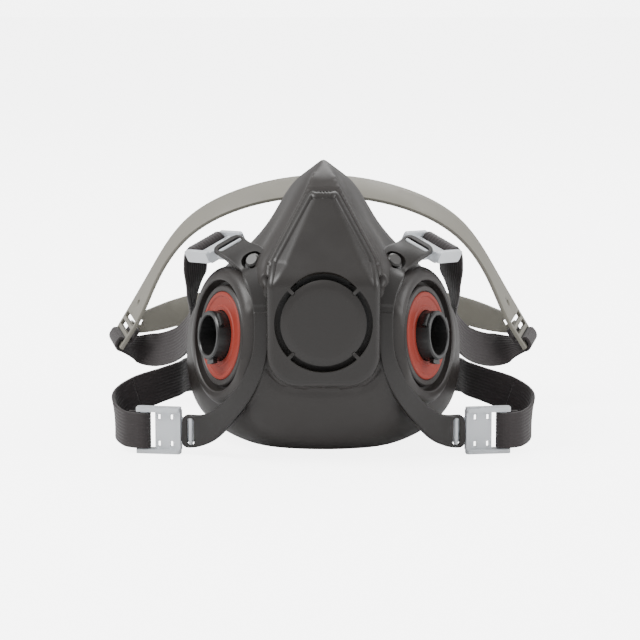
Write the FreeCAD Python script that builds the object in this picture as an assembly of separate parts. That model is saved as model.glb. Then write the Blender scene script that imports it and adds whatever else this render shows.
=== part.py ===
import math
import os

import FreeCAD
import Part

# Reusable half-face respirator. Millimetres, +Z up, the wearer looks along -Y.
# "left" and "right" are as seen by someone facing the respirator.
os.makedirs("parts", exist_ok=True)
V = FreeCAD.Vector

# Driving dimensions.
FACE_WIDTH = 122.4
FACE_HEIGHT = 128.0

# Points on the face are given for the face size they were laid out on, and follow its real size.
LAYOUT_HALF = 61.2
LAYOUT_HEIGHT = 128.0
WIDER = FACE_WIDTH / 2 / LAYOUT_HALF
TALLER = FACE_HEIGHT / LAYOUT_HEIGHT


def on_face(x, y, z):
    """Point that keeps its place on the face: beside it, it moves as far as the face's side does."""
    return V(x + min(x, LAYOUT_HALF) * (WIDER - 1), y, z * TALLER)


FACE_WALL = 2.4
NOSE_WALL = 4.5
LIP_DEPTH = 3.0
LIP_REACH = 9.0
FACE_FRONT = -42.0
FACE_REAR = 46.0
FACE_TAIL = 20.0
RIM_POINT = V(0, 42, 75)
RIM_NORMAL = V(0, 0.846, 0.533)

COVER_HALF = 22.6
COVER_LOW = 38.3 * TALLER
COVER_CORNER = 12.0
COVER_SHOULDER_Z = 80.0 * TALLER
COVER_WAIST = 0.925
COVER_WAIST_Z = 89.3 * TALLER
COVER_TIP = 0.226
COVER_FRONT = -50.0
COVER_BACK = -42.6
COVER_WALL = 1.6
PANEL_TOP_Y = -20.0
PANEL_TOP_Z = 115.6 * TALLER
PANEL_T = 3.0
GRILLE_RING_R = COVER_HALF - COVER_WALL
GRILLE_DISC_R = GRILLE_RING_R - 3.0
GRILLE_RIB_W = 1.4

VALVE_Z = 64.3 * TALLER
SEAT_FLANGE_R = COVER_HALF - 2.2
SEAT_TUBE_R = SEAT_FLANGE_R - 1.0
SEAT_FLANGE_T = 1.5
SEAT_LIP_R = SEAT_TUBE_R - 1.4
SEAT_LIP_W = 1.5
SEAT_LIP_H = 0.6
SEAT_BORE_R = SEAT_LIP_R - 1.6
FLAP_R = SEAT_LIP_R - 0.4
FLAP_T = 0.8
STEM_R = 1.8
STEM_BULB_R = 2.6
HUB_R = 3.4
SPOKE_W = 1.6

PORT_CENTRE = on_face(45.2, -22, 54)
PORT_YAW = 63.0
PORT_PITCH = 6.0
COLLAR_R = 30.5
COLLAR_TOP_R = 25.5
COLLAR_TOP = 1.0
GROOVE_IN = 22.2
GROOVE_OUT = 24.2
GROOVE_FLOOR = -3.0
RING_TOP = -0.4
COLLAR_FOOT = -6.5
COLLAR_SIDE = -4.5
COLLAR_BULGE_OUT = 1.5
COLLAR_BULGE_DROP = 0.7
COLLAR_EDGE = 0.3
COLLAR_FRONT = -44.4
SEAT_DEPTH = 4.5
BOSS_DEPTH = 7.5
GASKET_R = 19.25
GASKET_T = 2.5
FLANGE_R = 19.0
BARREL_R = 10.75
GASKET_HOLE_R = BARREL_R + 0.35
BARREL_BORE_R = BARREL_R - 2.15
BARREL_OUT = 6.0
SPIGOT_R = BARREL_R + 1.25
BOSS_R = SPIGOT_R + 4.0
SPIGOT_IN = 10.0
SPIDER_T = 1.8
LUG_R = BARREL_R + 1.85
LUG_H = 2.0
LUG_TURN = 30.0
POST_R = 1.5
POST_HEAD_R = 2.4
INHALE_FLAP_R = SPIGOT_R - 1.4
INHALE_TRAVEL_ROOM = 2.65

YOKE_T = 2.0
YOKE_BURIED = 5.0
UPPER_SLOT = on_face(40.7, -15.6, 92.6)
UPPER_OUT = V(0.62, 0.73, 0.288)
UPPER_ACROSS = V(-0.773, 0.503, 0.389)
UPPER_DROOP = 24.0
LOWER_SLOT = on_face(58.4, -19.0, 10.6)
LOWER_OUT = V(0.99, 0.14, 0)
LOWER_ACROSS = V(0, 0, 1)
SLOT_HALF = 1.7
SLOT_LENGTH = 12.4
ARM_END = 4.0
ARM_WIDTH = 15.0
STUD_AT = on_face(30.2, -28, 87.6)
STUD_OUT = V(0.406, -0.66, 0.573)
STUD_R = 3.3
STUD_PROUD = 2.2
STUD_HOLE_R = 4.6
STUD_HOLE_LONG = 1.2

BUCKLE_NEAR = 4.6
BUCKLE_FAR = 24.4
BUCKLE_HALF = 10.3
RAIL_W = 1.9
RAIL_FRONT = 1.8
RAIL_BACK = -3.6
PIN_R = 0.9
WEB_T = 1.4
TONGUE_T = 1.5
TONGUE_FRONT = -2.6
PANEL_FAR = 16.0
LACE_BAR_AT = 21.3
LACE_BAR_R = 1.5
LACE_BAR_Z = -0.8

STRAP_W = 16.0
STRAP_T = 1.5
GAP = 0.35
RUN = 0.05
RUN_OVERLAP = 1.0
RUN_STEP = 0.05
RUN_STEPS = 4

CRADLE_T = 1.8
CRADLE_W = 14.0
PLATE_W = 20.4
PLATE_AT = V(96, 87, 34.5)
PLATE_DOWN = V(0.52, 0, -0.86)
PLATE_ACROSS = V(0.256, 0.954, 0.154)
PLATE_SLOT_W = 2.6
PLATE_SLOT_PITCH = 4.4
PLATE_END = 4.3
END_BAR_R = 1.7
LOOP_START = -31.0
LOOP_BEND = 0.3
TAIL_END = -7.0
PIVOT_HOLE_R = 1.6
PIVOT_Y = 87.0
PIVOT_Z = 50.0

CLIP_Y = 95.0
CLIP_T = 4.0
CLIP_H = 21.0
CLIP_HALF = 15.0
CLIP_WINDOW = 7.0
PEG_CLEAR = 0.6
WINDOW_AT = 1.5
WINDOW_EDGE = 4.5
HOOK_T = 2.4
HOOK_EDGE = 2.5
HOOK_REACH = 9.0
STRAP_GRIP = 5.0

DEPTH_SHIFT = -33.6

# Loft stations of the face shell: depth, half width, bottom, top, half width of the flat top, and
# how far the section has turned from the boxy front shape (0) to the wide-cheeked shape (1).
HALF = FACE_WIDTH / 2
FACE_STATIONS = (
    (FACE_FRONT, HALF * 0.47, FACE_HEIGHT * 0.23, FACE_HEIGHT * 0.675, HALF * 0.42, 0.0),
    (-36.0, HALF * 0.56, FACE_HEIGHT * 0.115, FACE_HEIGHT * 0.725, HALF * 0.39, 0.1),
    (-29.0, HALF * 0.635, FACE_HEIGHT * 0.055, FACE_HEIGHT * 0.785, HALF * 0.32, 0.3),
    (-15.0, HALF * 0.775, FACE_HEIGHT * 0.012, FACE_HEIGHT * 0.902, HALF * 0.15, 0.7),
    (0.0, HALF * 0.925, FACE_HEIGHT * 0.003, FACE_HEIGHT * 0.985, HALF * 0.06, 1.0),
    (12.0, HALF, FACE_HEIGHT * 0.003, FACE_HEIGHT, HALF * 0.04, 1.0),
    (30.0, HALF * 0.98, FACE_HEIGHT * 0.02, FACE_HEIGHT * 0.99, HALF * 0.04, 1.0),
    (40.0, HALF * 0.94, FACE_HEIGHT * 0.06, FACE_HEIGHT * 0.98, HALF * 0.04, 1.0),
    (FACE_REAR, HALF * 0.91, FACE_HEIGHT * 0.10, FACE_HEIGHT * 0.97, HALF * 0.04, 1.0),
)
# Shares of the half width and of the height up one side; from TAPER_FROM on, the width runs down to
# that of the flat top.
BOXY_SHAPE = (
    (0.36, 0.008),
    (0.66, 0.045),
    (0.91, 0.16),
    (1.0, 0.36),
    (0.97, 0.54),
    (0.86, 0.72),
    (0.62, 0.87),
    (0.2, 0.955),
)
CHEEK_SHAPE = (
    (0.36, 0.004),
    (0.66, 0.025),
    (0.90, 0.105),
    (1.0, 0.30),
    (0.95, 0.453),
    (0.71, 0.60),
    (0.36, 0.78),
    (0.15, 0.93),
)
TAPER_FROM = 4
TOP_CORNER = (0.85, 0.99)


def unit(v):
    return V(v).normalize()


def placed(shape, origin, x_dir, z_dir):
    """A copy moved so its own x and z axes lie along x_dir and z_dir at the origin given."""
    z = unit(z_dir)
    x = unit(x_dir - z * x_dir.dot(z))
    y = z.cross(x)
    rows = [(x[i], y[i], z[i], origin[i]) for i in range(3)]
    matrix = FreeCAD.Matrix(*rows[0], *rows[1], *rows[2], 0, 0, 0, 1)
    out = shape.copy()
    out.Placement = FreeCAD.Placement(matrix).multiply(out.Placement)
    return out


def axes(out, across):
    """Orthonormal x, y, z: x along out, y in the plane of across."""
    x = unit(out)
    z = unit(x.cross(across))
    return x, z.cross(x), z


def mirrored(shape):
    return shape.mirror(V(0, 0, 0), V(1, 0, 0))


def block(x0, x1, y0, y1, z0, z1):
    return Part.makeBox(x1 - x0, y1 - y0, z1 - z0, V(x0, y0, z0))


def ring_prism(points, direction):
    return Part.Face(Part.makePolygon([*points, points[0]])).extrude(direction)


def ribbon(stations, first_dir, last_dir, ruled=False):
    """A flat band lofted through (centre, across, width, out, in) stations.

    The outer face lies on the side of across x path direction.
    """
    wires = []
    for i, (centre, across, width, out, into) in enumerate(stations):
        if i == 0:
            path = first_dir
        elif i == len(stations) - 1:
            path = last_dir
        else:
            path = stations[i + 1][0] - stations[i - 1][0]
        path = unit(path)
        side = unit(across - path * across.dot(path))
        normal = side.cross(path)
        a = centre + side * (width / 2) + normal * out
        b = centre - side * (width / 2) + normal * out
        c = centre - side * (width / 2) - normal * into
        d = centre + side * (width / 2) - normal * into
        wires.append(Part.makePolygon([a, b, c, d, a]))
    return Part.makeLoft(wires, True, ruled)


def between(a, b, c, d, t):
    """Point at t of the way from b to c on the smooth curve through four points."""
    part = (b * 2 + (c - a) * t + (a * 2 - b * 5 + c * 4 - d) * t**2 + (b * 3 - a - c * 3 + d) * t**3) * 0.5
    return part


def face_section(y, half, low, high, flat, cheek, grow, top_grow):
    """Closed curve in the plane at depth y, moved outward by grow."""
    w = half + grow
    top = max(flat + grow, 1.0)
    z0 = low - grow
    h = high + top_grow - z0
    right = []
    for i, ((bx, bz), (cx, cz)) in enumerate(zip(BOXY_SHAPE, CHEEK_SHAPE)):
        share = bx + (cx - bx) * cheek
        x = share * w if i < TAPER_FROM else top + (w - top) * share
        right.append((x, z0 + (bz + (cz - bz) * cheek) * h))
    right.append((top * TOP_CORNER[0], z0 + TOP_CORNER[1] * h))
    points = [V(0, y, z0)]
    points += [V(x, y, z) for x, z in right]
    points.append(V(0, y, z0 + h))
    points += [V(-x, y, z) for x, z in reversed(right)]
    curve = Part.BSplineCurve()
    curve.interpolate(points, True)
    return Part.Wire(curve.toShape())


def face_loft(grow, top_grow, front, rear):
    """Solid through all stations, with its first and last sections moved to front and rear."""
    wires = []
    last = len(FACE_STATIONS) - 1
    for i, (y, *sizes) in enumerate(FACE_STATIONS):
        depth = front if i == 0 else rear if i == last else y
        wires.append(face_section(depth, *sizes, grow, top_grow))
    return Part.makeLoft(wires, True, False)


def behind_rim(offset):
    """Everything behind the slanted rim plane moved back by offset, and behind the shell's rear end."""
    size = 400.0
    slab = Part.makeBox(size, size, size, V(-size / 2, -size / 2, 0))
    slanted = placed(slab, RIM_POINT + RIM_NORMAL * offset, V(1, 0, 0), RIM_NORMAL)
    end = block(-size / 2, size / 2, FACE_REAR + offset, size, -size / 2, size)
    return slanted.fuse(end)


def port_axis():
    yaw = math.radians(PORT_YAW)
    pitch = math.radians(PORT_PITCH)
    return V(math.sin(yaw) * math.cos(pitch), -math.cos(yaw) * math.cos(pitch), math.sin(pitch))


def at_port(shape):
    return placed(shape, PORT_CENTRE, V(0, 0, 1), port_axis())


def turned(points):
    """Solid of revolution about local z from (radius, height) points."""
    profile = Part.makePolygon([V(r, 0, z) for r, z in [*points, points[0]]])
    return Part.Face(profile).revolve(V(0, 0, 0), V(0, 0, 1), 360)


def collar():
    """Rounded dome that carries a port, with a groove round the ring that holds the gasket."""
    foot = V(COLLAR_R, 0, COLLAR_FOOT)
    side = V(COLLAR_R, 0, COLLAR_SIDE)
    bulge = V((COLLAR_R + COLLAR_TOP_R) / 2 + COLLAR_BULGE_OUT, 0, -COLLAR_BULGE_DROP)
    profile = [
        V(COLLAR_TOP_R, 0, COLLAR_TOP),
        V(GROOVE_OUT, 0, COLLAR_TOP - COLLAR_EDGE),
        V(GROOVE_OUT, 0, GROOVE_FLOOR),
        V(GROOVE_IN, 0, GROOVE_FLOOR),
        V(GROOVE_IN, 0, RING_TOP),
        V(0, 0, RING_TOP),
        V(0, 0, COLLAR_FOOT),
        foot,
        side,
    ]
    edges = [Part.makeLine(a, b) for a, b in zip(profile, profile[1:])]
    edges.append(Part.Arc(side, bulge, profile[0]).toShape())
    dome = at_port(Part.Face(Part.Wire(edges)).revolve(V(0, 0, 0), V(0, 0, 1), 360))
    return dome.cut(block(0, 100, COLLAR_FRONT - 50, COLLAR_FRONT, 0, FACE_HEIGHT))


def above_collar():
    """Space above a collar's ring and groove, kept clear of the shell's own skin."""
    reach = 20
    disc = Part.makeCylinder(GROOVE_OUT, reach, V(0, 0, RING_TOP))
    groove = Part.makeCylinder(GROOVE_OUT, reach, V(0, 0, GROOVE_FLOOR))
    ring = Part.makeCylinder(GROOVE_IN, 2 * reach, V(0, 0, -reach))
    return at_port(disc.fuse(groove.cut(ring)))


def valve_hole():
    reach = 60.0
    return Part.makeCylinder(SEAT_TUBE_R + RUN, reach, V(0, FACE_FRONT - 1, VALVE_Z), V(0, 1, 0))


def face_outside():
    dome = collar()
    clear = above_collar()
    skin = face_loft(0, 0, FACE_FRONT, FACE_REAR + FACE_TAIL).cut(behind_rim(0))
    return skin.fuse(dome).fuse(mirrored(dome)).cut(clear).cut(mirrored(clear))


def face_seal(outside):
    """The soft shell: outer skin, hollow, turned-in lip at the rim, port bosses and holes."""
    hollow = face_loft(-FACE_WALL, -NOSE_WALL, FACE_FRONT + FACE_WALL, FACE_REAR + FACE_TAIL)
    hollow = hollow.cut(behind_rim(-LIP_DEPTH))
    mouth = face_loft(-LIP_REACH, -2 * LIP_REACH, FACE_FRONT + LIP_REACH, FACE_REAR + FACE_TAIL)
    body = outside.cut(hollow).cut(mouth)
    boss = at_port(Part.makeCylinder(BOSS_R, BOSS_DEPTH - 2, V(0, 0, -BOSS_DEPTH)))
    bore = at_port(Part.makeCylinder(SPIGOT_R + RUN, 40, V(0, 0, -20)))
    recess = at_port(Part.makeCylinder(GASKET_R + RUN, 20, V(0, 0, -SEAT_DEPTH)))
    for shape in (boss, mirrored(boss)):
        body = body.fuse(shape)
    for shape in (bore, recess, mirrored(bore), mirrored(recess)):
        body = body.cut(shape)
    return body.cut(valve_hole())


def spokes(inner, outer, low, high, count):
    out = None
    for k in range(count):
        bar = block(inner, outer, -SPOKE_W / 2, SPOKE_W / 2, low, high)
        bar.rotate(V(0, 0, 0), V(0, 0, 1), 360.0 * k / count + 90.0)
        out = bar if out is None else out.fuse(bar)
    return out


def connector():
    """Black tube with a flange, three lock lugs, and a spider whose post holds the valve flap."""
    low = -SPIGOT_IN
    tube = turned(
        (
            (BARREL_BORE_R - 0.5, low),
            (SPIGOT_R, low),
            (SPIGOT_R, -SEAT_DEPTH),
            (FLANGE_R, -SEAT_DEPTH),
            (FLANGE_R, -GASKET_T),
            (BARREL_R, -GASKET_T),
            (BARREL_R, BARREL_OUT - 0.6),
            (BARREL_R - 0.6, BARREL_OUT),
            (BARREL_BORE_R + 0.4, BARREL_OUT),
            (BARREL_BORE_R, BARREL_OUT - 0.4),
            (BARREL_BORE_R, low + SPIDER_T),
            (BARREL_BORE_R - 0.5, low + SPIDER_T),
        )
    )
    top = BARREL_OUT - 1.0
    lug = Part.makeCylinder(LUG_R, LUG_H, V(0, 0, top - LUG_H), V(0, 0, 1), LUG_TURN)
    lug = lug.cut(Part.makeCylinder(BARREL_R - 0.5, 20, V(0, 0, -5)))
    for k in range(3):
        piece = lug.copy()
        piece.rotate(V(0, 0, 0), V(0, 0, 1), 120.0 * k + 30.0)
        tube = tube.fuse(piece)
    hub = Part.makeCylinder(HUB_R - 0.8, SPIDER_T, V(0, 0, low))
    tube = tube.fuse(spokes(1.0, BARREL_BORE_R + 1.0, low, low + SPIDER_T, 3)).fuse(hub)
    head = low - FLAP_T - INHALE_TRAVEL_ROOM
    tube = tube.fuse(Part.makeCylinder(POST_R, -head + low + 1.0, V(0, 0, head)))
    tube = tube.fuse(Part.makeCylinder(POST_HEAD_R, 1.0, V(0, 0, head - 1.0)))
    return at_port(tube)


def gasket():
    low = -GASKET_T
    ring = turned(
        (
            (GASKET_HOLE_R, low),
            (GASKET_R, low),
            (GASKET_R, -0.5),
            (GASKET_R - 0.5, 0),
            (GASKET_R - 1.8, 0),
            (GASKET_R - 2.3, -0.5),
            (GASKET_HOLE_R + 2.3, -0.5),
            (GASKET_HOLE_R + 1.8, 0),
            (GASKET_HOLE_R, 0),
        )
    )
    return at_port(ring)


def inhalation_valve():
    top = -SPIGOT_IN - RUN
    disc = Part.makeCylinder(INHALE_FLAP_R, FLAP_T, V(0, 0, top - FLAP_T))
    return at_port(disc.cut(Part.makeCylinder(POST_R + RUN, 20, V(0, 0, -20))))


def facing_front(shape):
    """Local z becomes the forward direction, at the middle of the exhalation valve."""
    return placed(shape, V(0, 0, VALVE_Z), V(1, 0, 0), V(0, -1, 0))


def exhalation_seat():
    """Ring with a flange on the shell's front, a raised lip, and a spider with a hub."""
    face = -FACE_FRONT
    top = face + SEAT_FLANGE_T
    low = face - FACE_WALL - 2.4
    ring = turned(
        (
            (SEAT_BORE_R, low),
            (SEAT_TUBE_R, low),
            (SEAT_TUBE_R, face),
            (SEAT_FLANGE_R, face),
            (SEAT_FLANGE_R, top),
            (SEAT_LIP_R, top),
            (SEAT_LIP_R, top + SEAT_LIP_H),
            (SEAT_LIP_R - SEAT_LIP_W, top + SEAT_LIP_H),
            (SEAT_BORE_R, top),
        )
    )
    hub = Part.makeCylinder(HUB_R, 2.4, V(0, 0, top - 2.4))
    ring = ring.fuse(spokes(1.0, SEAT_BORE_R + 1.0, top - 2.4, top - 0.6, 6)).fuse(hub)
    ring = ring.cut(Part.makeCylinder(STEM_R + RUN, 40, V(0, 0, 20)))
    return facing_front(ring)


def exhalation_valve():
    """Disc flap with a stem through the hub and a bulb that keeps it in."""
    seat = -FACE_FRONT + SEAT_FLANGE_T + SEAT_LIP_H + RUN
    hub_back = -FACE_FRONT + SEAT_FLANGE_T - 2.4
    flap = Part.makeCylinder(FLAP_R, FLAP_T, V(0, 0, seat))
    stem = Part.makeCylinder(STEM_R, seat - hub_back + 3.4, V(0, 0, hub_back - 3.0))
    bulb = Part.makeCone(STEM_R * 0.6, STEM_BULB_R, 1.6, V(0, 0, hub_back - 4.2))
    return facing_front(flap.fuse(stem).fuse(bulb))


def cover_outline(grow):
    """Front view of the cover: a rounded square body under a panel that narrows to the nose."""
    half = COVER_HALF + grow
    low = COVER_LOW - grow
    r = COVER_CORNER + grow
    waist = half * COVER_WAIST
    tip = half * COVER_TIP
    top_z = PANEL_TOP_Z + grow
    c = r * (1 - math.sqrt(0.5))
    edges = [
        Part.makeLine(V(-half + r, 0, low), V(half - r, 0, low)),
        Part.Arc(V(half - r, 0, low), V(half - c, 0, low + c), V(half, 0, low + r)).toShape(),
        Part.makeLine(V(half, 0, low + r), V(half, 0, COVER_SHOULDER_Z)),
        Part.makeLine(V(half, 0, COVER_SHOULDER_Z), V(waist, 0, COVER_WAIST_Z)),
        Part.makeLine(V(waist, 0, COVER_WAIST_Z), V(tip, 0, top_z)),
        Part.makeLine(V(tip, 0, top_z), V(-tip, 0, top_z)),
        Part.makeLine(V(-tip, 0, top_z), V(-waist, 0, COVER_WAIST_Z)),
        Part.makeLine(V(-waist, 0, COVER_WAIST_Z), V(-half, 0, COVER_SHOULDER_Z)),
        Part.makeLine(V(-half, 0, COVER_SHOULDER_Z), V(-half, 0, low + r)),
        Part.Arc(V(-half, 0, low + r), V(-half + c, 0, low + c), V(-half + r, 0, low)).toShape(),
    ]
    return Part.Face(Part.Wire(edges))


def cover_envelope(grow):
    face = cover_outline(grow)
    face.translate(V(0, -80, 0))
    return face.extrude(V(0, 80, 0))


def grille_slots():
    reach = 12.0
    cut = Part.makeCylinder(GRILLE_RING_R, reach).cut(Part.makeCylinder(GRILLE_DISC_R, reach))
    for k in range(2):
        rib = block(-30, 30, -GRILLE_RIB_W / 2, GRILLE_RIB_W / 2, 0, reach)
        rib.rotate(V(0, 0, 0), V(0, 0, 1), 45.0 + 90.0 * k)
        cut = cut.cut(rib)
    cut.translate(V(0, 0, -COVER_FRONT - reach / 2))
    return facing_front(cut)


def valve_cover():
    """One-piece snap-on cover: hollow body with a round grille and a sloping nose panel."""
    knee_z = 86.0
    knee_y = COVER_FRONT + 3.0
    slope = unit(V(0, PANEL_TOP_Y - knee_y, PANEL_TOP_Z - knee_z))
    inward = V(0, slope.z, -slope.y)
    tip_in = V(0, PANEL_TOP_Y, PANEL_TOP_Z) + inward * PANEL_T
    knee_back = tip_in - slope * ((tip_in.y - COVER_BACK) / slope.y)
    side = [
        V(-40, COVER_BACK, COVER_LOW),
        V(-40, COVER_FRONT, COVER_LOW),
        V(-40, COVER_FRONT, knee_z - 3.0),
        V(-40, knee_y, knee_z),
        V(-40, PANEL_TOP_Y, PANEL_TOP_Z),
        V(-40, tip_in.y, tip_in.z),
        V(-40, COVER_BACK, knee_back.z),
    ]
    body = cover_envelope(0).common(ring_prism(side, V(80, 0, 0)))
    pocket = cover_envelope(-COVER_WALL).common(
        block(-40, 40, COVER_FRONT + COVER_WALL, 0, COVER_LOW, knee_z - 2.0)
    )
    body = body.cut(pocket).cut(grille_slots())
    arm_in = SEAT_FLANGE_R + GAP
    for x0, x1 in ((arm_in, COVER_HALF - 1), (1 - COVER_HALF, -arm_in)):
        arm = block(x0, x1, COVER_FRONT + 1, COVER_BACK + 0.4, VALVE_Z - 4, VALVE_Z + 4)
        body = body.fuse(arm)
    seat_room = Part.makeCylinder(SEAT_FLANGE_R + GAP, SEAT_FLANGE_T + GAP + 1, V(0, 0, -FACE_FRONT - 1))
    body = body.cut(facing_front(seat_room)).cut(face_loft(GAP, GAP, FACE_FRONT, FACE_REAR))
    dome = collar()
    return body.cut(dome).cut(mirrored(dome))


def yoke(outside):
    """Harness band of one side: upper arm with slot, stud hole, strip by the cover, lower arm with slot."""
    top = UPPER_SLOT
    low = LOWER_SLOT
    half = YOKE_T / 2
    stations = (
        (top + UPPER_OUT * ARM_END, UPPER_ACROSS, ARM_WIDTH, half, half),
        (top, UPPER_ACROSS, ARM_WIDTH, half, half),
        (top - UPPER_OUT * 5, UPPER_ACROSS, ARM_WIDTH - 1, half, half + 1),
        (STUD_AT, V(-0.66, 0.26, 0.7), 14.0, half, YOKE_BURIED),
        (on_face(28.6, -37.6, 83), V(-0.88, 0.25, 0.4), 12.0, half, YOKE_BURIED),
        (on_face(27.2, -42.3, 77), V(-0.97, 0.1, 0.2), 9.0, half, YOKE_BURIED),
        (on_face(26.5, -44.8, 69), V(-1, 0, 0), 7.0, half, YOKE_BURIED),
        (on_face(26.6, -45.6, 60), V(-1, 0, 0), 6.4, half, YOKE_BURIED),
        (on_face(27.4, -45.8, 50), V(-1, 0, -0.15), 6.4, half, YOKE_BURIED),
        (on_face(30.6, -44.8, 40), V(-0.88, -0.1, -0.45), 7.2, half, YOKE_BURIED),
        (on_face(37.0, -39.2, 28.5), V(-0.72, -0.2, -0.65), 8.2, half, YOKE_BURIED),
        (on_face(44.4, -31.0, 19.2), V(-0.6, -0.2, -0.77), 9.5, half, YOKE_BURIED),
        (on_face(51.5, -24.0, 12.8), V(-0.3, -0.1, -0.95), 12.5, half, half + 1),
        (low, V(0, 0, -1), ARM_WIDTH, half, half),
        (low + LOWER_OUT * ARM_END, V(0, 0, -1), ARM_WIDTH, half, half),
    )
    band = ribbon(stations, UPPER_OUT * -1, LOWER_OUT)
    slot = block(-SLOT_HALF, SLOT_HALF, -SLOT_LENGTH / 2, SLOT_LENGTH / 2, -6, 6)
    band = band.cut(placed(slot, top, UPPER_OUT, UPPER_OUT.cross(UPPER_ACROSS)))
    band = band.cut(placed(slot, low, LOWER_OUT, LOWER_OUT.cross(LOWER_ACROSS)))
    hole = block(-STUD_HOLE_LONG, STUD_HOLE_LONG, -STUD_HOLE_R, STUD_HOLE_R, -7, 7)
    for x in (-STUD_HOLE_LONG, STUD_HOLE_LONG):
        hole = hole.fuse(Part.makeCylinder(STUD_HOLE_R, 14, V(x, 0, -7)))
    band = band.cut(placed(hole, STUD_AT, UPPER_OUT, STUD_OUT))
    band = band.cut(outside).cut(cover_envelope(GAP))
    return max(band.Solids, key=lambda s: s.Volume)


def stud(outside):
    """Button that holds the yoke on the shell."""
    shank = Part.makeCylinder(STUD_R - 1.2, 10, V(0, 0, -8))
    head = Part.makeCylinder(STUD_R, STUD_PROUD - 0.8, V(0, 0, 0))
    dome = Part.makeCone(STUD_R, STUD_R - 0.8, 0.8, V(0, 0, STUD_PROUD - 0.8))
    base = Part.makeCylinder(STUD_R, 1.2, V(0, 0, -8))
    body = placed(shank.fuse(head).fuse(dome).fuse(base), STUD_AT, UPPER_OUT, STUD_OUT)
    return max(body.cut(outside).Solids, key=lambda s: s.CenterOfMass.dot(unit(STUD_OUT)))


def buckle():
    """Local x points away from the arm, y along its slot, z to the front; the slot's bar is at 0."""
    inner = BUCKLE_HALF - RAIL_W
    pin_half = SLOT_LENGTH / 2 - GAP
    tongue_half = pin_half - 0.4
    back = TONGUE_FRONT - TONGUE_T
    body = Part.makeCylinder(PIN_R, 2 * pin_half, V(0, -pin_half, 0), V(0, 1, 0))
    body = body.fuse(block(-WEB_T / 2, WEB_T / 2, -tongue_half, tongue_half, back, 0))
    body = body.fuse(block(-WEB_T / 2, BUCKLE_NEAR + 1, -tongue_half, tongue_half, back, TONGUE_FRONT))
    body = body.fuse(block(BUCKLE_NEAR, BUCKLE_NEAR + 2.2, -inner - 0.5, inner + 0.5, back, 0.6))
    body = body.fuse(block(BUCKLE_NEAR + 1, PANEL_FAR, -inner - 0.5, inner + 0.5, -1.6, 0))
    for sign in (1, -1):
        y0, y1 = sorted((sign * inner, sign * BUCKLE_HALF))
        rail = block(BUCKLE_NEAR, BUCKLE_FAR, y0, y1, RAIL_BACK, RAIL_FRONT)
        ends = [e for e in rail.Edges if abs(e.BoundBox.YLength - RAIL_W) < 0.01]
        body = body.fuse(rail.makeFillet(1.2, ends))
    body = body.fuse(
        Part.makeCylinder(LACE_BAR_R, 2 * inner + 1, V(LACE_BAR_AT, -inner - 0.5, LACE_BAR_Z), V(0, 1, 0))
    )
    for x in (BUCKLE_NEAR + 3.4, PANEL_FAR - 2.4):
        for y in (inner - 3.6, 1.2 - inner):
            body = body.cut(block(x, x + 1.2, y, y + 2.4, -3, 2))
    return body


def upper_buckle_axes():
    """Local axes of the upper buckle, which hangs below its arm's plane."""
    x, y, z = axes(UPPER_OUT, UPPER_ACROSS)
    droop = math.radians(UPPER_DROOP)
    return x * math.cos(droop) - z * math.sin(droop), y, z * math.cos(droop) + x * math.sin(droop)


def sector(cx, cz, mid, start, end):
    """Bent piece of strap about the local y direction, between two angles measured from local x to z."""
    r0 = mid - STRAP_T / 2
    r1 = mid + STRAP_T / 2
    a0, a1 = math.radians(start), math.radians(end)
    am = (a0 + a1) / 2

    def at(r, a):
        return V(cx + r * math.cos(a), -STRAP_W / 2, cz + r * math.sin(a))

    edges = [
        Part.Arc(at(r1, a0), at(r1, am), at(r1, a1)).toShape(),
        Part.makeLine(at(r1, a1), at(r0, a1)),
        Part.Arc(at(r0, a1), at(r0, am), at(r0, a0)).toShape(),
        Part.makeLine(at(r0, a0), at(r1, a0)),
    ]
    return Part.Face(Part.Wire(edges)).extrude(V(0, STRAP_W, 0))


def leg(x0, x1, z0, z1):
    return block(x0, x1, -STRAP_W / 2, STRAP_W / 2, z0, z1)


def buckle_loop(tail):
    """Strap round the buckle's outer bar; the front leg carries on, the rear leg is the loose tail."""
    mid = LACE_BAR_R + GAP + STRAP_T / 2
    half = STRAP_T / 2
    front = LACE_BAR_Z + mid
    rear = LACE_BAR_Z - mid
    loop = sector(LACE_BAR_AT, LACE_BAR_Z, mid, 90, 270)
    loop = loop.fuse(leg(LACE_BAR_AT, BUCKLE_FAR, front - half, front + half))
    return loop.fuse(leg(LACE_BAR_AT, LACE_BAR_AT + tail, rear - half, rear + half))


def strap_start(origin, x, z):
    return origin + x * (BUCKLE_FAR - RUN_OVERLAP) + z * (LACE_BAR_Z + LACE_BAR_R + GAP + STRAP_T / 2)


def strap_run(points, first_dir, last_dir):
    """Strap through (centre, across) points, with short straight pieces between them."""
    half = STRAP_T / 2 - RUN_STEP
    width = STRAP_W - 2 * RUN_STEP
    ends = [points[0], *points, points[-1]]
    stations = []
    for i in range(len(points) - 1):
        quad = ends[i : i + 4]
        for k in range(RUN_STEPS):
            t = k / RUN_STEPS
            centre = between(*[q[0] for q in quad], t)
            across = between(*[q[1] for q in quad], t)
            stations.append((centre, across, width, half, half))
    stations.append((*points[-1], width, half, half))
    return ribbon(stations, first_dir, last_dir, True)


def end_bar():
    """Middle of the plate's end bar along local x, and the radius of the strap's middle round it."""
    return (PLATE_SLOT_W / 2 + PLATE_END) / 2, END_BAR_R + GAP + STRAP_T / 2


def plate_tail(grow):
    """Loose end of the upper strap, flat along the inside of the plate."""
    turn = STRAP_T / 2 + LOOP_BEND
    mid = -CRADLE_T / 2 - STRAP_T - RUN - turn
    half = STRAP_T / 2 + grow
    wide = STRAP_W / 2 + grow
    return block(TAIL_END - grow, -turn, -wide, wide, mid - half, mid + half)


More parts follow.
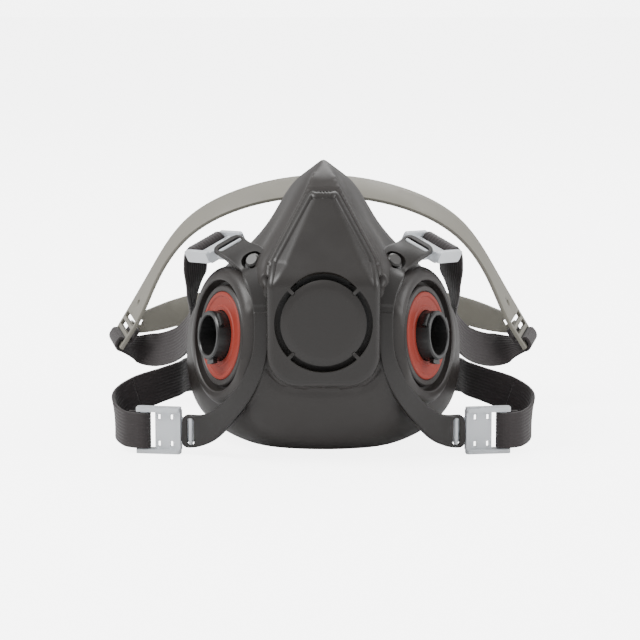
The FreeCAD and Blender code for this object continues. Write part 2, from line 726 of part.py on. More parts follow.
def plate_loop():
    """Strap round the plate's end bar, through the first slot and up the inside."""
    bar, mid = end_bar()
    half = STRAP_T / 2
    turn = half + LOOP_BEND
    down = CRADLE_T / 2 + STRAP_T + RUN
    loop = sector(bar, 0, mid, LOOP_START, 90)
    loop = loop.fuse(leg(turn, bar, mid - half, mid + half))
    loop = loop.fuse(sector(turn, mid - turn, turn, 90, 180))
    loop = loop.fuse(leg(-half, half, -down, mid - turn))
    loop = loop.fuse(sector(-turn, -down, turn, 270, 360))
    return loop.fuse(plate_tail(0))


def upper_strap():
    x, y, z = upper_buckle_axes()
    px, py, pz = axes(PLATE_DOWN, PLATE_ACROSS)
    bar, mid = end_bar()
    angle = math.radians(LOOP_START)
    radial = px * math.cos(angle) + pz * math.sin(angle)
    arrive = pz * math.cos(angle) - px * math.sin(angle)
    end = PLATE_AT + px * bar + radial * mid
    stub = placed(leg(0, 2 * RUN_OVERLAP, -STRAP_T / 2, STRAP_T / 2), end, arrive * -1, radial)
    points = [
        (strap_start(UPPER_SLOT, x, z), y),
        (on_face(56.0, 9.0, 87.5), V(-0.68, 0.65, 0.25)),
        (on_face(57.0, 12.5, 80), V(-0.6, 0.78, 0.15)),
        (on_face(57.0, 18, 72), V(-0.45, 0.82, 0.3)),
        (on_face(58.0, 29, 64.5), V(-0.25, 0.8, 0.5)),
        (on_face(59.6, 42, 55.5), V(-0.1, 0.6, 0.79)),
        (on_face(61.5, 56, 43.5), V(0, 0.4, 0.92)),
        (V(68, 69, 34), V(0, 0.3, 0.95)),
        (V(78, 81, 28.5), V(0.03, 0.35, 0.93)),
        (V(87.5, 88.5, 27.8), V(0.15, 0.75, 0.64)),
        (end - arrive * RUN_OVERLAP, py),
    ]
    run = strap_run(points, x, arrive)
    near = placed(buckle_loop(9), UPPER_SLOT, x, z)
    far = placed(plate_loop(), PLATE_AT, px, pz)
    return near.fuse(run).fuse(far.fuse(stub))


def lower_strap():
    x, y, z = axes(LOWER_OUT, LOWER_ACROSS)
    up = V(0, 0, 1)
    points = [
        (strap_start(LOWER_SLOT, x, z), y),
        (on_face(87.8, -14.6, 11.0), up),
        (on_face(92.0, -7, 13.0), V(0.05, 0, 1)),
        (on_face(91.2, 2, 17.5), V(0.12, 0.05, 1)),
        (on_face(84, 9.5, 21.5), V(0.1, 0.1, 1)),
        (on_face(74, 16.5, 24), up),
        (on_face(66, 27, 25), up),
        (on_face(62, 43, 24), up),
        (V(50, 63, 20), up),
        (V(33, 83.5, 15), up),
        (V(22, CLIP_Y - 1.6, CLIP_H / 2 + 1), up),
        (V(CLIP_HALF + 1, CLIP_Y, CLIP_H / 2), up),
        (V(CLIP_HALF - STRAP_GRIP + GAP, CLIP_Y, CLIP_H / 2), up),
    ]
    run = strap_run(points, x, V(-1, 0, 0))
    return placed(buckle_loop(7), LOWER_SLOT, x, z).fuse(run)


def crown_cradle():
    """Two bands that meet at slotted end plates, moulded in one piece."""
    half = CRADLE_T / 2
    px, py, pz = axes(PLATE_DOWN, PLATE_ACROSS)
    top_right = [
        (PLATE_AT + px * PLATE_END, py, PLATE_W),
        (PLATE_AT, py, PLATE_W),
        (PLATE_AT - px * 12, py, PLATE_W),
        (V(80, 82.5, 64), V(0.2, 0.93, 0.25), CRADLE_W),
        (V(64, 77, 87), V(0.12, 0.9, 0.4), CRADLE_W),
        (V(36, 73, 102.5), V(0.05, 0.86, 0.5), CRADLE_W),
    ]
    rear_right = [
        (V(92.5, 88.5, 40.0), V(-0.35, 0.05, 0.93), CRADLE_W - 4),
        (V(88, 92.5, 39.4), V(-0.3, 0.05, 0.95), CRADLE_W - 4),
        (V(79, 98, 40.8), V(-0.2, 0.1, 0.97), CRADLE_W - 2),
        (V(67, 104, 43.5), V(-0.12, 0.12, 0.98), CRADLE_W - 1),
        (V(38, 112, 47.5), V(-0.05, 0.18, 0.98), CRADLE_W - 1),
    ]
    bands = []
    for right, middle in (
        (top_right, (V(0, 72, 108), V(0, 0.82, 0.57), CRADLE_W)),
        (rear_right, (V(0, 115, 49), V(0, 0.2, 0.98), CRADLE_W - 1)),
    ):
        left = [(V(-c.x, c.y, c.z), V(-a.x, a.y, a.z), w) for c, a, w in reversed(right)]
        path = [(c, a, w, half, half) for c, a, w in [*right, middle, *left]]
        first = path[1][0] - path[0][0]
        bands.append(ribbon(path, first, V(first.x, -first.y, -first.z)))
    body = bands[0].fuse(bands[1])
    slots = block(-PLATE_SLOT_W / 2, PLATE_SLOT_W / 2, -STRAP_W / 2 - GAP, STRAP_W / 2 + GAP, -7, 7)
    for k in range(3):
        piece = slots.copy()
        piece.translate(V(-PLATE_SLOT_PITCH * k, 0, 0))
        cut = placed(piece, PLATE_AT, px, pz)
        body = body.cut(cut).cut(mirrored(cut))
    tail_room = placed(plate_tail(GAP), PLATE_AT, px, pz)
    body = body.cut(tail_room).cut(mirrored(tail_room))
    pivot = Part.makeCylinder(PIVOT_HOLE_R, 400, V(-200, PIVOT_Y, PIVOT_Z), V(1, 0, 0))
    return max(body.cut(pivot).Solids, key=lambda s: s.Volume)


def clip_pocket():
    """Slot in the clip's outer end that takes the end of the right strap."""
    half = STRAP_W / 2 + GAP
    mid = CLIP_H / 2
    thin = STRAP_T / 2 + GAP
    start = CLIP_HALF - STRAP_GRIP
    return block(start, CLIP_HALF + 5, CLIP_Y - thin, CLIP_Y + thin, mid - half, mid + half)


def clip_loop():
    """Frame with a window, on the end of the right lower strap."""
    y0 = CLIP_Y - CLIP_T / 2
    y1 = CLIP_Y + CLIP_T / 2
    body = block(-1, CLIP_HALF, y0, y1, 0, CLIP_H)
    body = body.makeFillet(1.2, [e for e in body.Edges if e.BoundBox.YLength > CLIP_T - 0.1])
    window = block(WINDOW_AT, WINDOW_AT + CLIP_WINDOW, y0 - 5, y1 + 5, WINDOW_EDGE, CLIP_H - WINDOW_EDGE)
    return body.cut(window).cut(clip_pocket())


def clip_hook():
    """Plate with a peg that sits in the loop's window, on the end of the left lower strap."""
    y0 = CLIP_Y - CLIP_T / 2
    y1 = CLIP_Y + CLIP_T / 2
    body = block(-CLIP_HALF, -1 - PEG_CLEAR, y0, y1, 0, CLIP_H)
    body = body.makeFillet(1.2, [e for e in body.Edges if e.BoundBox.YLength > CLIP_T - 0.1])
    back = y0 - GAP
    front = back - HOOK_T
    low = HOOK_EDGE
    high = CLIP_H - HOOK_EDGE
    plate = block(-HOOK_REACH, WINDOW_AT + CLIP_WINDOW + 1, front, back, low, high)
    root = block(-HOOK_REACH, -2 - PEG_CLEAR, front, y0 + 0.1, low, high)
    peg_low = WINDOW_EDGE + PEG_CLEAR
    peg_end = WINDOW_AT + CLIP_WINDOW - PEG_CLEAR
    peg = block(WINDOW_AT + PEG_CLEAR, peg_end, front, y1 - GAP, peg_low, CLIP_H - peg_low)
    return body.fuse(plate).fuse(root).fuse(peg).cut(mirrored(clip_pocket()))


def write(name, shape):
    """Moves the piece so the origin is under the middle of the whole, and writes it."""
    out = shape.copy()
    out.translate(V(0, DEPTH_SHIFT, 0))
    out = out.removeSplitter()
    solids = out.Solids
    box = out.optimalBoundingBox(False)
    print(
        f"{name:28s} solids {len(solids)} valid {out.isValid()} volume {out.Volume:9.1f} "
        f"x {box.XMin:7.2f} {box.XMax:7.2f} y {box.YMin:7.2f} {box.YMax:7.2f} z {box.ZMin:7.2f} {box.ZMax:7.2f}"
    )
    out.exportStep(os.path.join("parts", name + ".step"))


outside = face_outside()
write("face_seal", face_seal(outside))
write("exhalation_valve_seat", exhalation_seat())
write("exhalation_valve", exhalation_valve())
write("valve_cover", valve_cover())
for name, shape in (
    ("bayonet_connector", connector()),
    ("port_gasket", gasket()),
    ("inhalation_valve", inhalation_valve()),
    ("harness_yoke", yoke(outside)),
    ("yoke_stud", stud(outside)),
    ("upper_buckle", placed(buckle(), UPPER_SLOT, *upper_buckle_axes()[::2])),
    ("lower_buckle", placed(buckle(), LOWER_SLOT, *axes(LOWER_OUT, LOWER_ACROSS)[::2])),
    ("upper_strap", upper_strap()),
    ("lower_strap", lower_strap()),
):
    write("right_" + name, shape)
    write("left_" + name, mirrored(shape))
write("crown_cradle", crown_cradle())
write("neck_clip_loop", clip_loop())
write("neck_clip_hook", clip_hook())
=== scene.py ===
import math

import bmesh
import bpy
import numpy as np
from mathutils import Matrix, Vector


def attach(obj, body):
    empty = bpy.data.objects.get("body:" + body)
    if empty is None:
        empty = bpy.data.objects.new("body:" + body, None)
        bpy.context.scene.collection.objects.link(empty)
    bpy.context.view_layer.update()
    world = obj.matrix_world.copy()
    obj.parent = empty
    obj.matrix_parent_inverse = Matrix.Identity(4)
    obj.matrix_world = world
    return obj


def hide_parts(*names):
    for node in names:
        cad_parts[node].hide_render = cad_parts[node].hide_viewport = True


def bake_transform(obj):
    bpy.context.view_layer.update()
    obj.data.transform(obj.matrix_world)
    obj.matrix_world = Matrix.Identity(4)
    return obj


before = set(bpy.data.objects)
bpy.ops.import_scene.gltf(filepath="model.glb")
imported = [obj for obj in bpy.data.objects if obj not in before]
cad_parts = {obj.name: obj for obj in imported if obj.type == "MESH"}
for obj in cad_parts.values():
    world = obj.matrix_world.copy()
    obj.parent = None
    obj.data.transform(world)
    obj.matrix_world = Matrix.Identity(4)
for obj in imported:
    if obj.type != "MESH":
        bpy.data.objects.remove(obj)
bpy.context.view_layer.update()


# --- Face shell ---------------------------------------------------------------------------------
# One soft elastomer moulding: a hollow half mask with a lip turned in round the face opening, a
# raised frame and rim round a pocket for the valve cover, and on each cheek a round shoulder with
# a grooved ring that holds an inlet.
MM = 0.001
DEPTH_SHIFT = -33.6

FACE_WIDTH = 122.4
FACE_HEIGHT = 128.0
FACE_FRONT = -42.0
FACE_REAR = 46.0
FACE_WALL = 2.4
NOSE_WALL = 4.5
LIP_REACH = 9.0
LIP_DEPTH = 3.0
RIM_POINT = np.array((0.0, 42.0, 75.0))
RIM_NORMAL = np.array((0.0, 0.846, 0.533))
VALVE_Z = 64.3
VALVE_HOLE_R = 19.45

# Depth, then half width as a share of the overall half, bottom and top as shares of the height,
# half width of the flat top, and how far the section has turned from boxy (0) to wide-cheeked (1).
STATIONS = np.array(
    (
        (FACE_FRONT, 0.47, 0.23, 0.675, 0.42, 0.0),
        (-36.0, 0.56, 0.115, 0.725, 0.39, 0.1),
        (-29.0, 0.635, 0.055, 0.785, 0.32, 0.3),
        (-15.0, 0.775, 0.012, 0.902, 0.15, 0.7),
        (0.0, 0.925, 0.003, 0.985, 0.06, 1.0),
        (12.0, 1.0, 0.003, 1.0, 0.04, 1.0),
        (30.0, 0.98, 0.02, 0.99, 0.04, 1.0),
        (40.0, 0.94, 0.06, 0.98, 0.04, 1.0),
        (FACE_REAR, 0.91, 0.10, 0.97, 0.04, 1.0),
    )
)
BOXY_X = np.array((0.36, 0.66, 0.91, 1.0, 0.97, 0.86, 0.62, 0.2))
BOXY_Z = np.array((0.008, 0.045, 0.16, 0.36, 0.54, 0.72, 0.87, 0.955))
CHEEK_X = np.array((0.36, 0.66, 0.90, 1.0, 0.95, 0.71, 0.36, 0.15))
CHEEK_Z = np.array((0.004, 0.025, 0.105, 0.30, 0.453, 0.60, 0.78, 0.93))
TAPER_FROM = 4
TOP_CORNER_X = 0.85
TOP_CORNER_Z = 0.99

PORT_CENTRE = np.array((45.2, -22.0, 54.0))
PORT_YAW = math.radians(63.0)
PORT_PITCH = math.radians(6.0)
PORT_AXIS = np.array(
    (
        math.sin(PORT_YAW) * math.cos(PORT_PITCH),
        -math.cos(PORT_YAW) * math.cos(PORT_PITCH),
        math.sin(PORT_PITCH),
    )
)
COLLAR_R = 30.5
COLLAR_TOP = 1.0
COLLAR_ROUND = 4.6
COLLAR_BLEND = 3.0
COLLAR_FRONT = -44.4
COLLAR_RISE = 14.0
COLLAR_INNER_X = (21.0, 26.5)
POCKET_FLOOR = -7.2

COVER_HALF = 22.6
COVER_LOW = 38.3
COVER_CORNER = 12.0
COVER_SHOULDER_Z = 80.0
COVER_WAIST = 20.9
COVER_WAIST_Z = 89.3
COVER_TIP = 5.1
FRAME_DROP = 1.2
FRAME_EDGE = 3.2
FRAME_FRONT = FACE_FRONT - 2.4
FRAME_TOP_Z = 118.5
FRAME_SINK = 0.3
FRAME_BLEND = 0.8
FRAME_RISE = 7.0
FRAME_FADE_LOW = (76.0, 84.0)
FRAME_FADE_TOP = (127.0, 119.0)
FRAME_Z = (60.0, COVER_SHOULDER_Z, COVER_WAIST_Z, 115.6, 122.0, 129.0)
FRAME_HALF = (
    COVER_HALF + FRAME_EDGE,
    COVER_HALF + FRAME_EDGE,
    COVER_WAIST + FRAME_EDGE,
    COVER_TIP + FRAME_EDGE + 0.4,
    5.6,
    3.0,
)
RIM_BAND = 3.4
RIM_BLEND = 1.2
RIM_RISE = 5.0
RIM_FADE = (84.0, 78.0)
RIM_REAR = -20.0
PANEL_TOP = np.array((0.0, -20.0, 115.6))
PANEL_OUT = np.array((0.0, -0.739, 0.674))

AROUND = 320


def periodic_spline(knots, values, at):
    """Closed cubic spline: each span is a cubic whose second derivatives M solve the cyclic system
    h0*M0 + 2(h0+h1)*M1 + h1*M2 = 6(slope1 - slope0)."""
    n = len(values)
    h = np.diff(knots)
    nxt = np.roll(values, -1, 0)
    slope = (nxt - values) / h[:, None]
    system = np.zeros((n, n))
    i = np.arange(n)
    before = np.roll(h, 1)
    system[i, i] = 2 * (before + h)
    system[i, (i - 1) % n] += before
    system[i, (i + 1) % n] += h
    m = np.linalg.solve(system, 6 * (slope - np.roll(slope, 1, 0)))
    k = np.clip(np.searchsorted(knots, at, side="right") - 1, 0, n - 1)
    a = ((knots[k + 1] - at) / h[k])[:, None]
    b = 1 - a
    mn = np.roll(m, -1, 0)
    bend = ((a**3 - a) * m[k] + (b**3 - b) * mn[k]) * h[k][:, None] ** 2 / 6
    return a * values[k] + b * nxt[k] + bend


def natural_spline(knots, values, at):
    """Open cubic spline through values, one per knot, with no bending at its two ends."""
    n = len(knots)
    h = np.diff(knots)
    flat = values.reshape(n, -1)
    slope = np.diff(flat, axis=0) / h[:, None]
    system = np.eye(n)
    i = np.arange(1, n - 1)
    system[i, i] = 2 * (h[:-1] + h[1:])
    system[i, i - 1] = h[:-1]
    system[i, i + 1] = h[1:]
    right = np.zeros_like(flat)
    right[1:-1] = 6 * np.diff(slope, axis=0)
    m = np.linalg.solve(system, right)
    k = np.clip(np.searchsorted(knots, at, side="right") - 1, 0, n - 2)
    a = ((knots[k + 1] - at) / h[k])[:, None]
    b = 1 - a
    bend = ((a**3 - a) * m[k] + (b**3 - b) * m[k + 1]) * h[k][:, None] ** 2 / 6
    return (a * flat[k] + b * flat[k + 1] + bend).reshape(len(at), *values.shape[1:])


def face_table(grow, top_grow, depths):
    """Skin points (depth, around, xyz): closed splines through each station's key points, then
    natural splines from station to station. grow moves the sides out and top_grow the top up."""
    rings = []
    for y, half, low, high, flat, cheek in STATIONS:
        w = half * FACE_WIDTH / 2 + grow
        top = max(flat * FACE_WIDTH / 2 + grow, 1.0)
        z0 = low * FACE_HEIGHT - grow
        h = high * FACE_HEIGHT + top_grow - z0
        share = BOXY_X + (CHEEK_X - BOXY_X) * cheek
        tall = BOXY_Z + (CHEEK_Z - BOXY_Z) * cheek
        x = np.where(np.arange(len(share)) < TAPER_FROM, share * w, top + (w - top) * share)
        x = np.append(x, top * TOP_CORNER_X)
        z = z0 + np.append(tall, TOP_CORNER_Z) * h
        right = np.column_stack((x, z))
        left = right[::-1] * (-1, 1)
        keys = np.concatenate(([(0.0, z0)], right, [(0.0, z0 + h)], left))
        steps = np.linalg.norm(np.roll(keys, -1, 0) - keys, axis=1)
        knots = np.concatenate(([0.0], np.cumsum(steps)))
        at = np.arange(AROUND) / AROUND * knots[-1]
        rings.append(periodic_spline(knots, keys, at))
    xz = natural_spline(STATIONS[:, 0], np.array(rings), depths)
    y = np.broadcast_to(depths[:, None], xz.shape[:2])
    return np.stack((xz[..., 0], y, xz[..., 1]), -1)


DEPTHS = np.linspace(FACE_FRONT, FACE_REAR + 6.0, 400)


def rim_depth(table, offset):
    """Depth at which each column of the table meets the slanted rim plane moved back by offset,
    eased into the shell's rear end."""
    side = (table - RIM_POINT) @ RIM_NORMAL - offset
    first = np.argmax(side > 0, axis=0)
    never = ~(side > 0).any(axis=0)
    first = np.clip(first, 1, len(DEPTHS) - 1)
    cols = np.arange(table.shape[1])
    s0, s1 = side[first - 1, cols], side[first, cols]
    cross = DEPTHS[first - 1] + (DEPTHS[first] - DEPTHS[first - 1]) * s0 / (s0 - s1)
    cross = np.where(never, 200.0, cross)
    end = FACE_REAR + offset
    ease = 2.0
    return -ease * np.logaddexp(-cross / ease, -end / ease)


def sample(table, depth):
    """Points of the table at a depth for each column, by straight lines between its rows."""
    f = np.clip((depth - DEPTHS[0]) / (DEPTHS[1] - DEPTHS[0]), 0, len(DEPTHS) - 1.001)
    k = f.astype(int)
    part = (f - k)[..., None]
    cols = np.broadcast_to(np.arange(AROUND), depth.shape)
    return table[k, cols] * (1 - part) + table[k + 1, cols] * part


def corner(before, at, after, reach, steps):
    """Rounded corner: the quadratic curve from reach before the corner to reach after it."""
    def toward(p):
        d = p - at
        length = np.linalg.norm(d, axis=-1, keepdims=True)
        return at + d * np.minimum(reach / length, 0.45)

    a, b = toward(before), toward(after)
    t = np.linspace(0, 1, steps)[:, None, None]
    return (1 - t) ** 2 * a + 2 * t * (1 - t) * at + t**2 * b


def lerp(a, b, steps):
    """Rows evenly between a and b, without the two ends."""
    t = np.linspace(0, 1, steps + 2)[1:-1, None, None]
    return a * (1 - t) + b * t


def smooth_min(a, b, ease):
    return np.minimum(a, b) - np.maximum(ease - np.abs(a - b), 0) ** 2 / (4 * ease)


def smooth_max(a, b, ease):
    return -smooth_min(-a, -b, ease)


def smooth_step(v, low, high):
    """0 at low, 1 at high, level at both; low may be the larger."""
    t = np.clip((v - low) / (high - low), 0, 1)
    return t * t * (3 - 2 * t)


def port_coordinates(p):
    """Distance from the right port's axis and height along it; both ports, by mirror."""
    d = np.stack((np.abs(p[..., 0]), p[..., 1], p[..., 2]), -1) - PORT_CENTRE
    w = d @ PORT_AXIS
    return np.linalg.norm(d - w[..., None] * PORT_AXIS, axis=-1), w


def collar_distance(p):
    """Signed distance to a round disc with a rounded shoulder, about the port's axis."""
    rho, w = port_coordinates(p)
    a = rho - (COLLAR_R - COLLAR_ROUND)
    b = w - (COLLAR_TOP - COLLAR_ROUND)
    out = np.hypot(np.maximum(a, 0), np.maximum(b, 0))
    round_disc = out + np.minimum(np.maximum(a, b), 0) - COLLAR_ROUND
    return smooth_max(round_disc, COLLAR_FRONT - p[..., 1], 1.0)


def frame_distance(p):
    """Signed distance to the flat frame round the nose panel: below a plane just under the panel's,
    which sinks into the skin near the tip, inside an outline a little wider than the panel's."""
    sink = FRAME_SINK * np.maximum(p[..., 2] - FRAME_TOP_Z, 0)
    plane = (p - PANEL_TOP) @ PANEL_OUT + FRAME_DROP + sink
    wide = np.abs(p[..., 0]) - np.interp(p[..., 2], FRAME_Z, FRAME_HALF)
    return smooth_max(smooth_max(plane, wide * 0.8, 0.9), COVER_WAIST_Z - 6.0 - p[..., 2], 2.0)


def rim_distance(p):
    """Signed distance to the low rim round the lower half of the cover: a rounded square a little
    larger than the cover, standing proud of the shell's front."""
    half = COVER_HALF + RIM_BAND
    r = COVER_CORNER + RIM_BAND
    low = COVER_LOW - RIM_BAND
    a = np.abs(p[..., 0]) - (half - r)
    b = (low + r) - p[..., 2]
    out = np.hypot(np.maximum(a, 0), np.maximum(b, 0)) + np.minimum(np.maximum(a, b), 0) - r
    return smooth_max(out * 0.7, FRAME_FRONT - p[..., 1], 1.4)


def grid_normals(p):
    """Unit normals of a grid that closes round its second axis."""
    du = np.roll(p, -1, 1) - np.roll(p, 1, 1)
    dv = np.gradient(p, axis=0)
    n = np.cross(du, dv)
    return n / np.maximum(np.linalg.norm(n, axis=-1, keepdims=True), 1e-9)


def raise_skin(p, n, distance, ease, most):
    """Moves each point along its normal to the outside of a shape, easing the two together: the
    height t where the smooth minimum of t and the shape's distance is zero."""
    steps = np.linspace(0, most, 71)
    value = np.array([smooth_min(t, distance(p + n * t), ease) for t in steps])
    inside = value < -1e-3
    last = len(steps) - 1 - np.argmax(inside[::-1], axis=0)
    any_in = inside.any(axis=0)
    last = np.clip(last, 0, len(steps) - 2)
    v0 = np.take_along_axis(value, last[None], 0)[0]
    v1 = np.take_along_axis(value, last[None] + 1, 0)[0]
    part = np.clip(v0 / np.where(np.abs(v0 - v1) < 1e-9, 1, v0 - v1), 0, 1)
    return np.where(any_in, steps[last] + part * (steps[1] - steps[0]), 0.0)


def surface(name, points, close_rows=False, close_cols=False, keep=None, uv=None, flip=False):
    """Mesh from a grid of points in millimetres: a quad between each four neighbours. keep masks
    quads and uv gives a map per point. Closed grids are turned so that their normals face out."""
    rows, cols = points.shape[:2]
    r = np.arange(rows if close_rows else rows - 1)
    c = np.arange(cols if close_cols else cols - 1)
    rr, cc = np.meshgrid(r, c, indexing="ij")
    r1, c1 = (rr + 1) % rows, (cc + 1) % cols
    quads = np.stack((rr * cols + cc, rr * cols + c1, r1 * cols + c1, r1 * cols + cc), -1)
    quads = (quads if keep is None else quads[keep]).reshape(-1, 4)
    flat = points.reshape(-1, 3)
    if close_rows and close_cols:
        a, b, d = flat[quads[:, 0]], flat[quads[:, 1]], flat[quads[:, 2]]
        flip = np.einsum("ij,ij->i", a - flat.mean(0), np.cross(b - a, d - a)).sum() < 0
    if flip:
        quads = quads[:, ::-1]
    mesh = bpy.data.meshes.new(name)
    mesh.from_pydata((flat + (0, DEPTH_SHIFT, 0)) * MM, [], quads)
    mesh.polygons.foreach_set("use_smooth", np.ones(len(quads), bool))
    if uv is not None:
        layer = mesh.uv_layers.new(name="UVMap")
        layer.data.foreach_set("uv", uv.reshape(-1, 2)[quads.ravel()].ravel())
    obj = bpy.data.objects.new(name, mesh)
    bpy.context.scene.collection.objects.link(obj)
    return obj


def lathe(name, profile, origin, axis, steps=128):
    """Closed solid from (radius, height) points turned about axis at origin; a radius of 0 is a
    pole, drawn as a tiny ring that is then merged."""
    rz = np.array(profile, float)
    rz[:, 0] = np.maximum(rz[:, 0], 1e-4)
    side = np.cross(axis, (0.0, 0.0, 1.0))
    side /= np.linalg.norm(side)
    up = np.cross(side, axis)
    turn = np.arange(steps) * 2 * math.pi / steps
    spoke = np.cos(turn)[:, None] * side + np.sin(turn)[:, None] * up
    points = origin + rz[:, None, :1] * spoke[None] + rz[:, None, 1:] * np.asarray(axis)
    return close_poles(surface(name, points, close_rows=True, close_cols=True))


def close_poles(obj):
    """Merges the points of each tiny end ring into one."""
    work = bmesh.new()
    work.from_mesh(obj.data)
    bmesh.ops.remove_doubles(work, verts=work.verts, dist=2e-6)
    work.to_mesh(obj.data)
    work.free()
    obj.data.polygons.foreach_set("use_smooth", np.ones(len(obj.data.polygons), bool))
    return obj


def carve(obj, cutters):
    """Cuts the closed cutters out of obj and leaves a plain mesh."""
    for i, cutter in enumerate(cutters):
        mod = obj.modifiers.new(f"cut {i}", "BOOLEAN")
        mod.operation = "DIFFERENCE"
        mod.solver = "EXACT"
        mod.object = cutter
    bpy.context.view_layer.update()
    graph = bpy.context.evaluated_depsgraph_get()
    mesh = bpy.data.meshes.new_from_object(obj.evaluated_get(graph))
    obj.modifiers.clear()
    obj.data = mesh
    for cutter in cutters:
        bpy.data.objects.remove(cutter)


def keep_sharp(obj, degrees=35.0):
    """Smooth shading that breaks at edges sharper than the angle."""
    obj.data.set_sharp_from_angle(angle=math.radians(degrees))


def mirror_x(points):
    return points * (-1, 1, 1)


outer_table = face_table(0.0, 0.0, DEPTHS)
inner_table = face_table(-FACE_WALL, -NOSE_WALL, DEPTHS)
mouth_table = face_table(-LIP_REACH, -2 * LIP_REACH, DEPTHS)

outer_end = rim_depth(outer_table, 0.0)
share = np.linspace(0, 1, 118)[:, None]
outer_depth = FACE_FRONT + 1.6 + (outer_end - 2.2 - FACE_FRONT - 1.6) * share
outer_wall = sample(outer_table, outer_depth)
outline = outer_table[0]
toward = outline - (0, FACE_FRONT, VALVE_Z)
toward /= np.linalg.norm(toward, axis=1, keepdims=True)
hole_front = np.array((0, FACE_FRONT, VALVE_Z)) + toward * VALVE_HOLE_R
hole_back = hole_front + (0, FACE_WALL, 0)
front_cap = lerp(hole_front, outline, 14)[:-1]
front_corner = corner(front_cap[-1], outline, outer_wall[0], 1.6, 5)

rim = sample(outer_table, outer_end)
mouth = sample(mouth_table, rim_depth(mouth_table, 0.0))
mouth_front = sample(mouth_table, rim_depth(mouth_table, -LIP_DEPTH))
inner_end = rim_depth(inner_table, -LIP_DEPTH)
inner_corner = sample(inner_table, inner_end)
inner_start = inner_end - 1.5
inner_depth = inner_start + (FACE_FRONT + FACE_WALL + 0.6 - inner_start) * np.linspace(0, 1, 60)[:, None]
inner_wall = sample(inner_table, inner_depth)
inner_outline = sample(inner_table, np.full(AROUND, FACE_FRONT + FACE_WALL))

skin = np.concatenate((hole_front[None], front_cap, front_corner, outer_wall[1:]))
normal = grid_normals(skin)
centre_way = skin[60] - (0, skin[60, 0, 1], VALVE_Z)
if np.einsum("ij,ij->i", normal[60], centre_way).sum() < 0:
    normal = -normal
beside = smooth_step(np.abs(skin[..., 0]), *COLLAR_INNER_X)
collar_rise = raise_skin(skin, normal, collar_distance, COLLAR_BLEND, COLLAR_RISE) * beside
height = skin[..., 2]
frame_rise = raise_skin(skin, normal, frame_distance, FRAME_BLEND, FRAME_RISE)
frame_rise *= smooth_step(height, *FRAME_FADE_LOW) * smooth_step(height, *FRAME_FADE_TOP)
rim_rise = raise_skin(skin, normal, rim_distance, RIM_BLEND, RIM_RISE)
rim_rise *= smooth_step(height, *RIM_FADE) * (skin[..., 1] < RIM_REAR)
skin = skin + normal * np.maximum(np.maximum(collar_rise, frame_rise), rim_rise)[..., None]

rho, w = port_coordinates(inner_wall)
floor = POCKET_FLOOR + 30.0 * smooth_step(rho, 24.0, 34.0)
push = np.minimum(smooth_min(w, floor, 2.0) - w, 0)
side = np.sign(inner_wall[..., 0])
away = np.stack((side * PORT_AXIS[0] * push, PORT_AXIS[1] * push, PORT_AXIS[2] * push), -1)
inner_wall = inner_wall + away * (rho < 36)[..., None]

shell_rows = (
    skin,
    corner(skin[-1], rim, mouth, 2.2, 7)[1:],
    lerp(rim, mouth, 8),
    corner(rim, mouth, mouth_front, 1.2, 5),
    corner(mouth, mouth_front, inner_corner, 1.2, 5),
    lerp(mouth_front, inner_corner, 5),
    inner_wall,
    lerp(inner_outline, hole_back, 7),
    hole_back[None],
)
face = surface("facepiece_shell", np.concatenate(shell_rows), close_rows=True, close_cols=True)

GROOVE_OUT = 24.2
GROOVE_IN = 22.0
GROOVE_FLOOR = -3.2
RING_TOP = -0.3
RECESS_R = 19.35
SEAT_DEPTH = 4.55
SPIGOT_HOLE_R = 12.05
INLET_SEAT = (
    (0.0, 16.0),
    (GROOVE_OUT + 3.0, 16.0),
    (GROOVE_OUT + 1.0, COLLAR_TOP + 0.3),
    (GROOVE_OUT + 0.2, COLLAR_TOP - 0.4),
    (GROOVE_OUT, GROOVE_FLOOR + 0.6),
    (GROOVE_OUT - 0.5, GROOVE_FLOOR),
    (GROOVE_IN + 0.5, GROOVE_FLOOR),
    (GROOVE_IN, GROOVE_FLOOR + 0.6),
    (GROOVE_IN, RING_TOP - 0.5),
    (GROOVE_IN - 0.5, RING_TOP),
    (RECESS_R + 0.4, RING_TOP),
    (RECESS_R, RING_TOP - 0.4),
    (RECESS_R, -SEAT_DEPTH),
    (SPIGOT_HOLE_R, -SEAT_DEPTH),
    (SPIGOT_HOLE_R, -14.0),
    (0.0, -14.0),
)
POCKET_GAP = 1.2
POCKET_DEPTH = 5.5
COVER_FRONT = -50.0
KNEE_Z = 86.0
KNEE_Y = -47.0


def smooth_front(z):
    """Depth of the cover's front at each height: flat, then the sloping nose panel."""
    slope = (PANEL_TOP[1] - KNEE_Y) / (PANEL_TOP[2] - KNEE_Z)
    return smooth_max(np.full_like(z, COVER_FRONT), KNEE_Y + (z - KNEE_Z) * slope, 2.5)


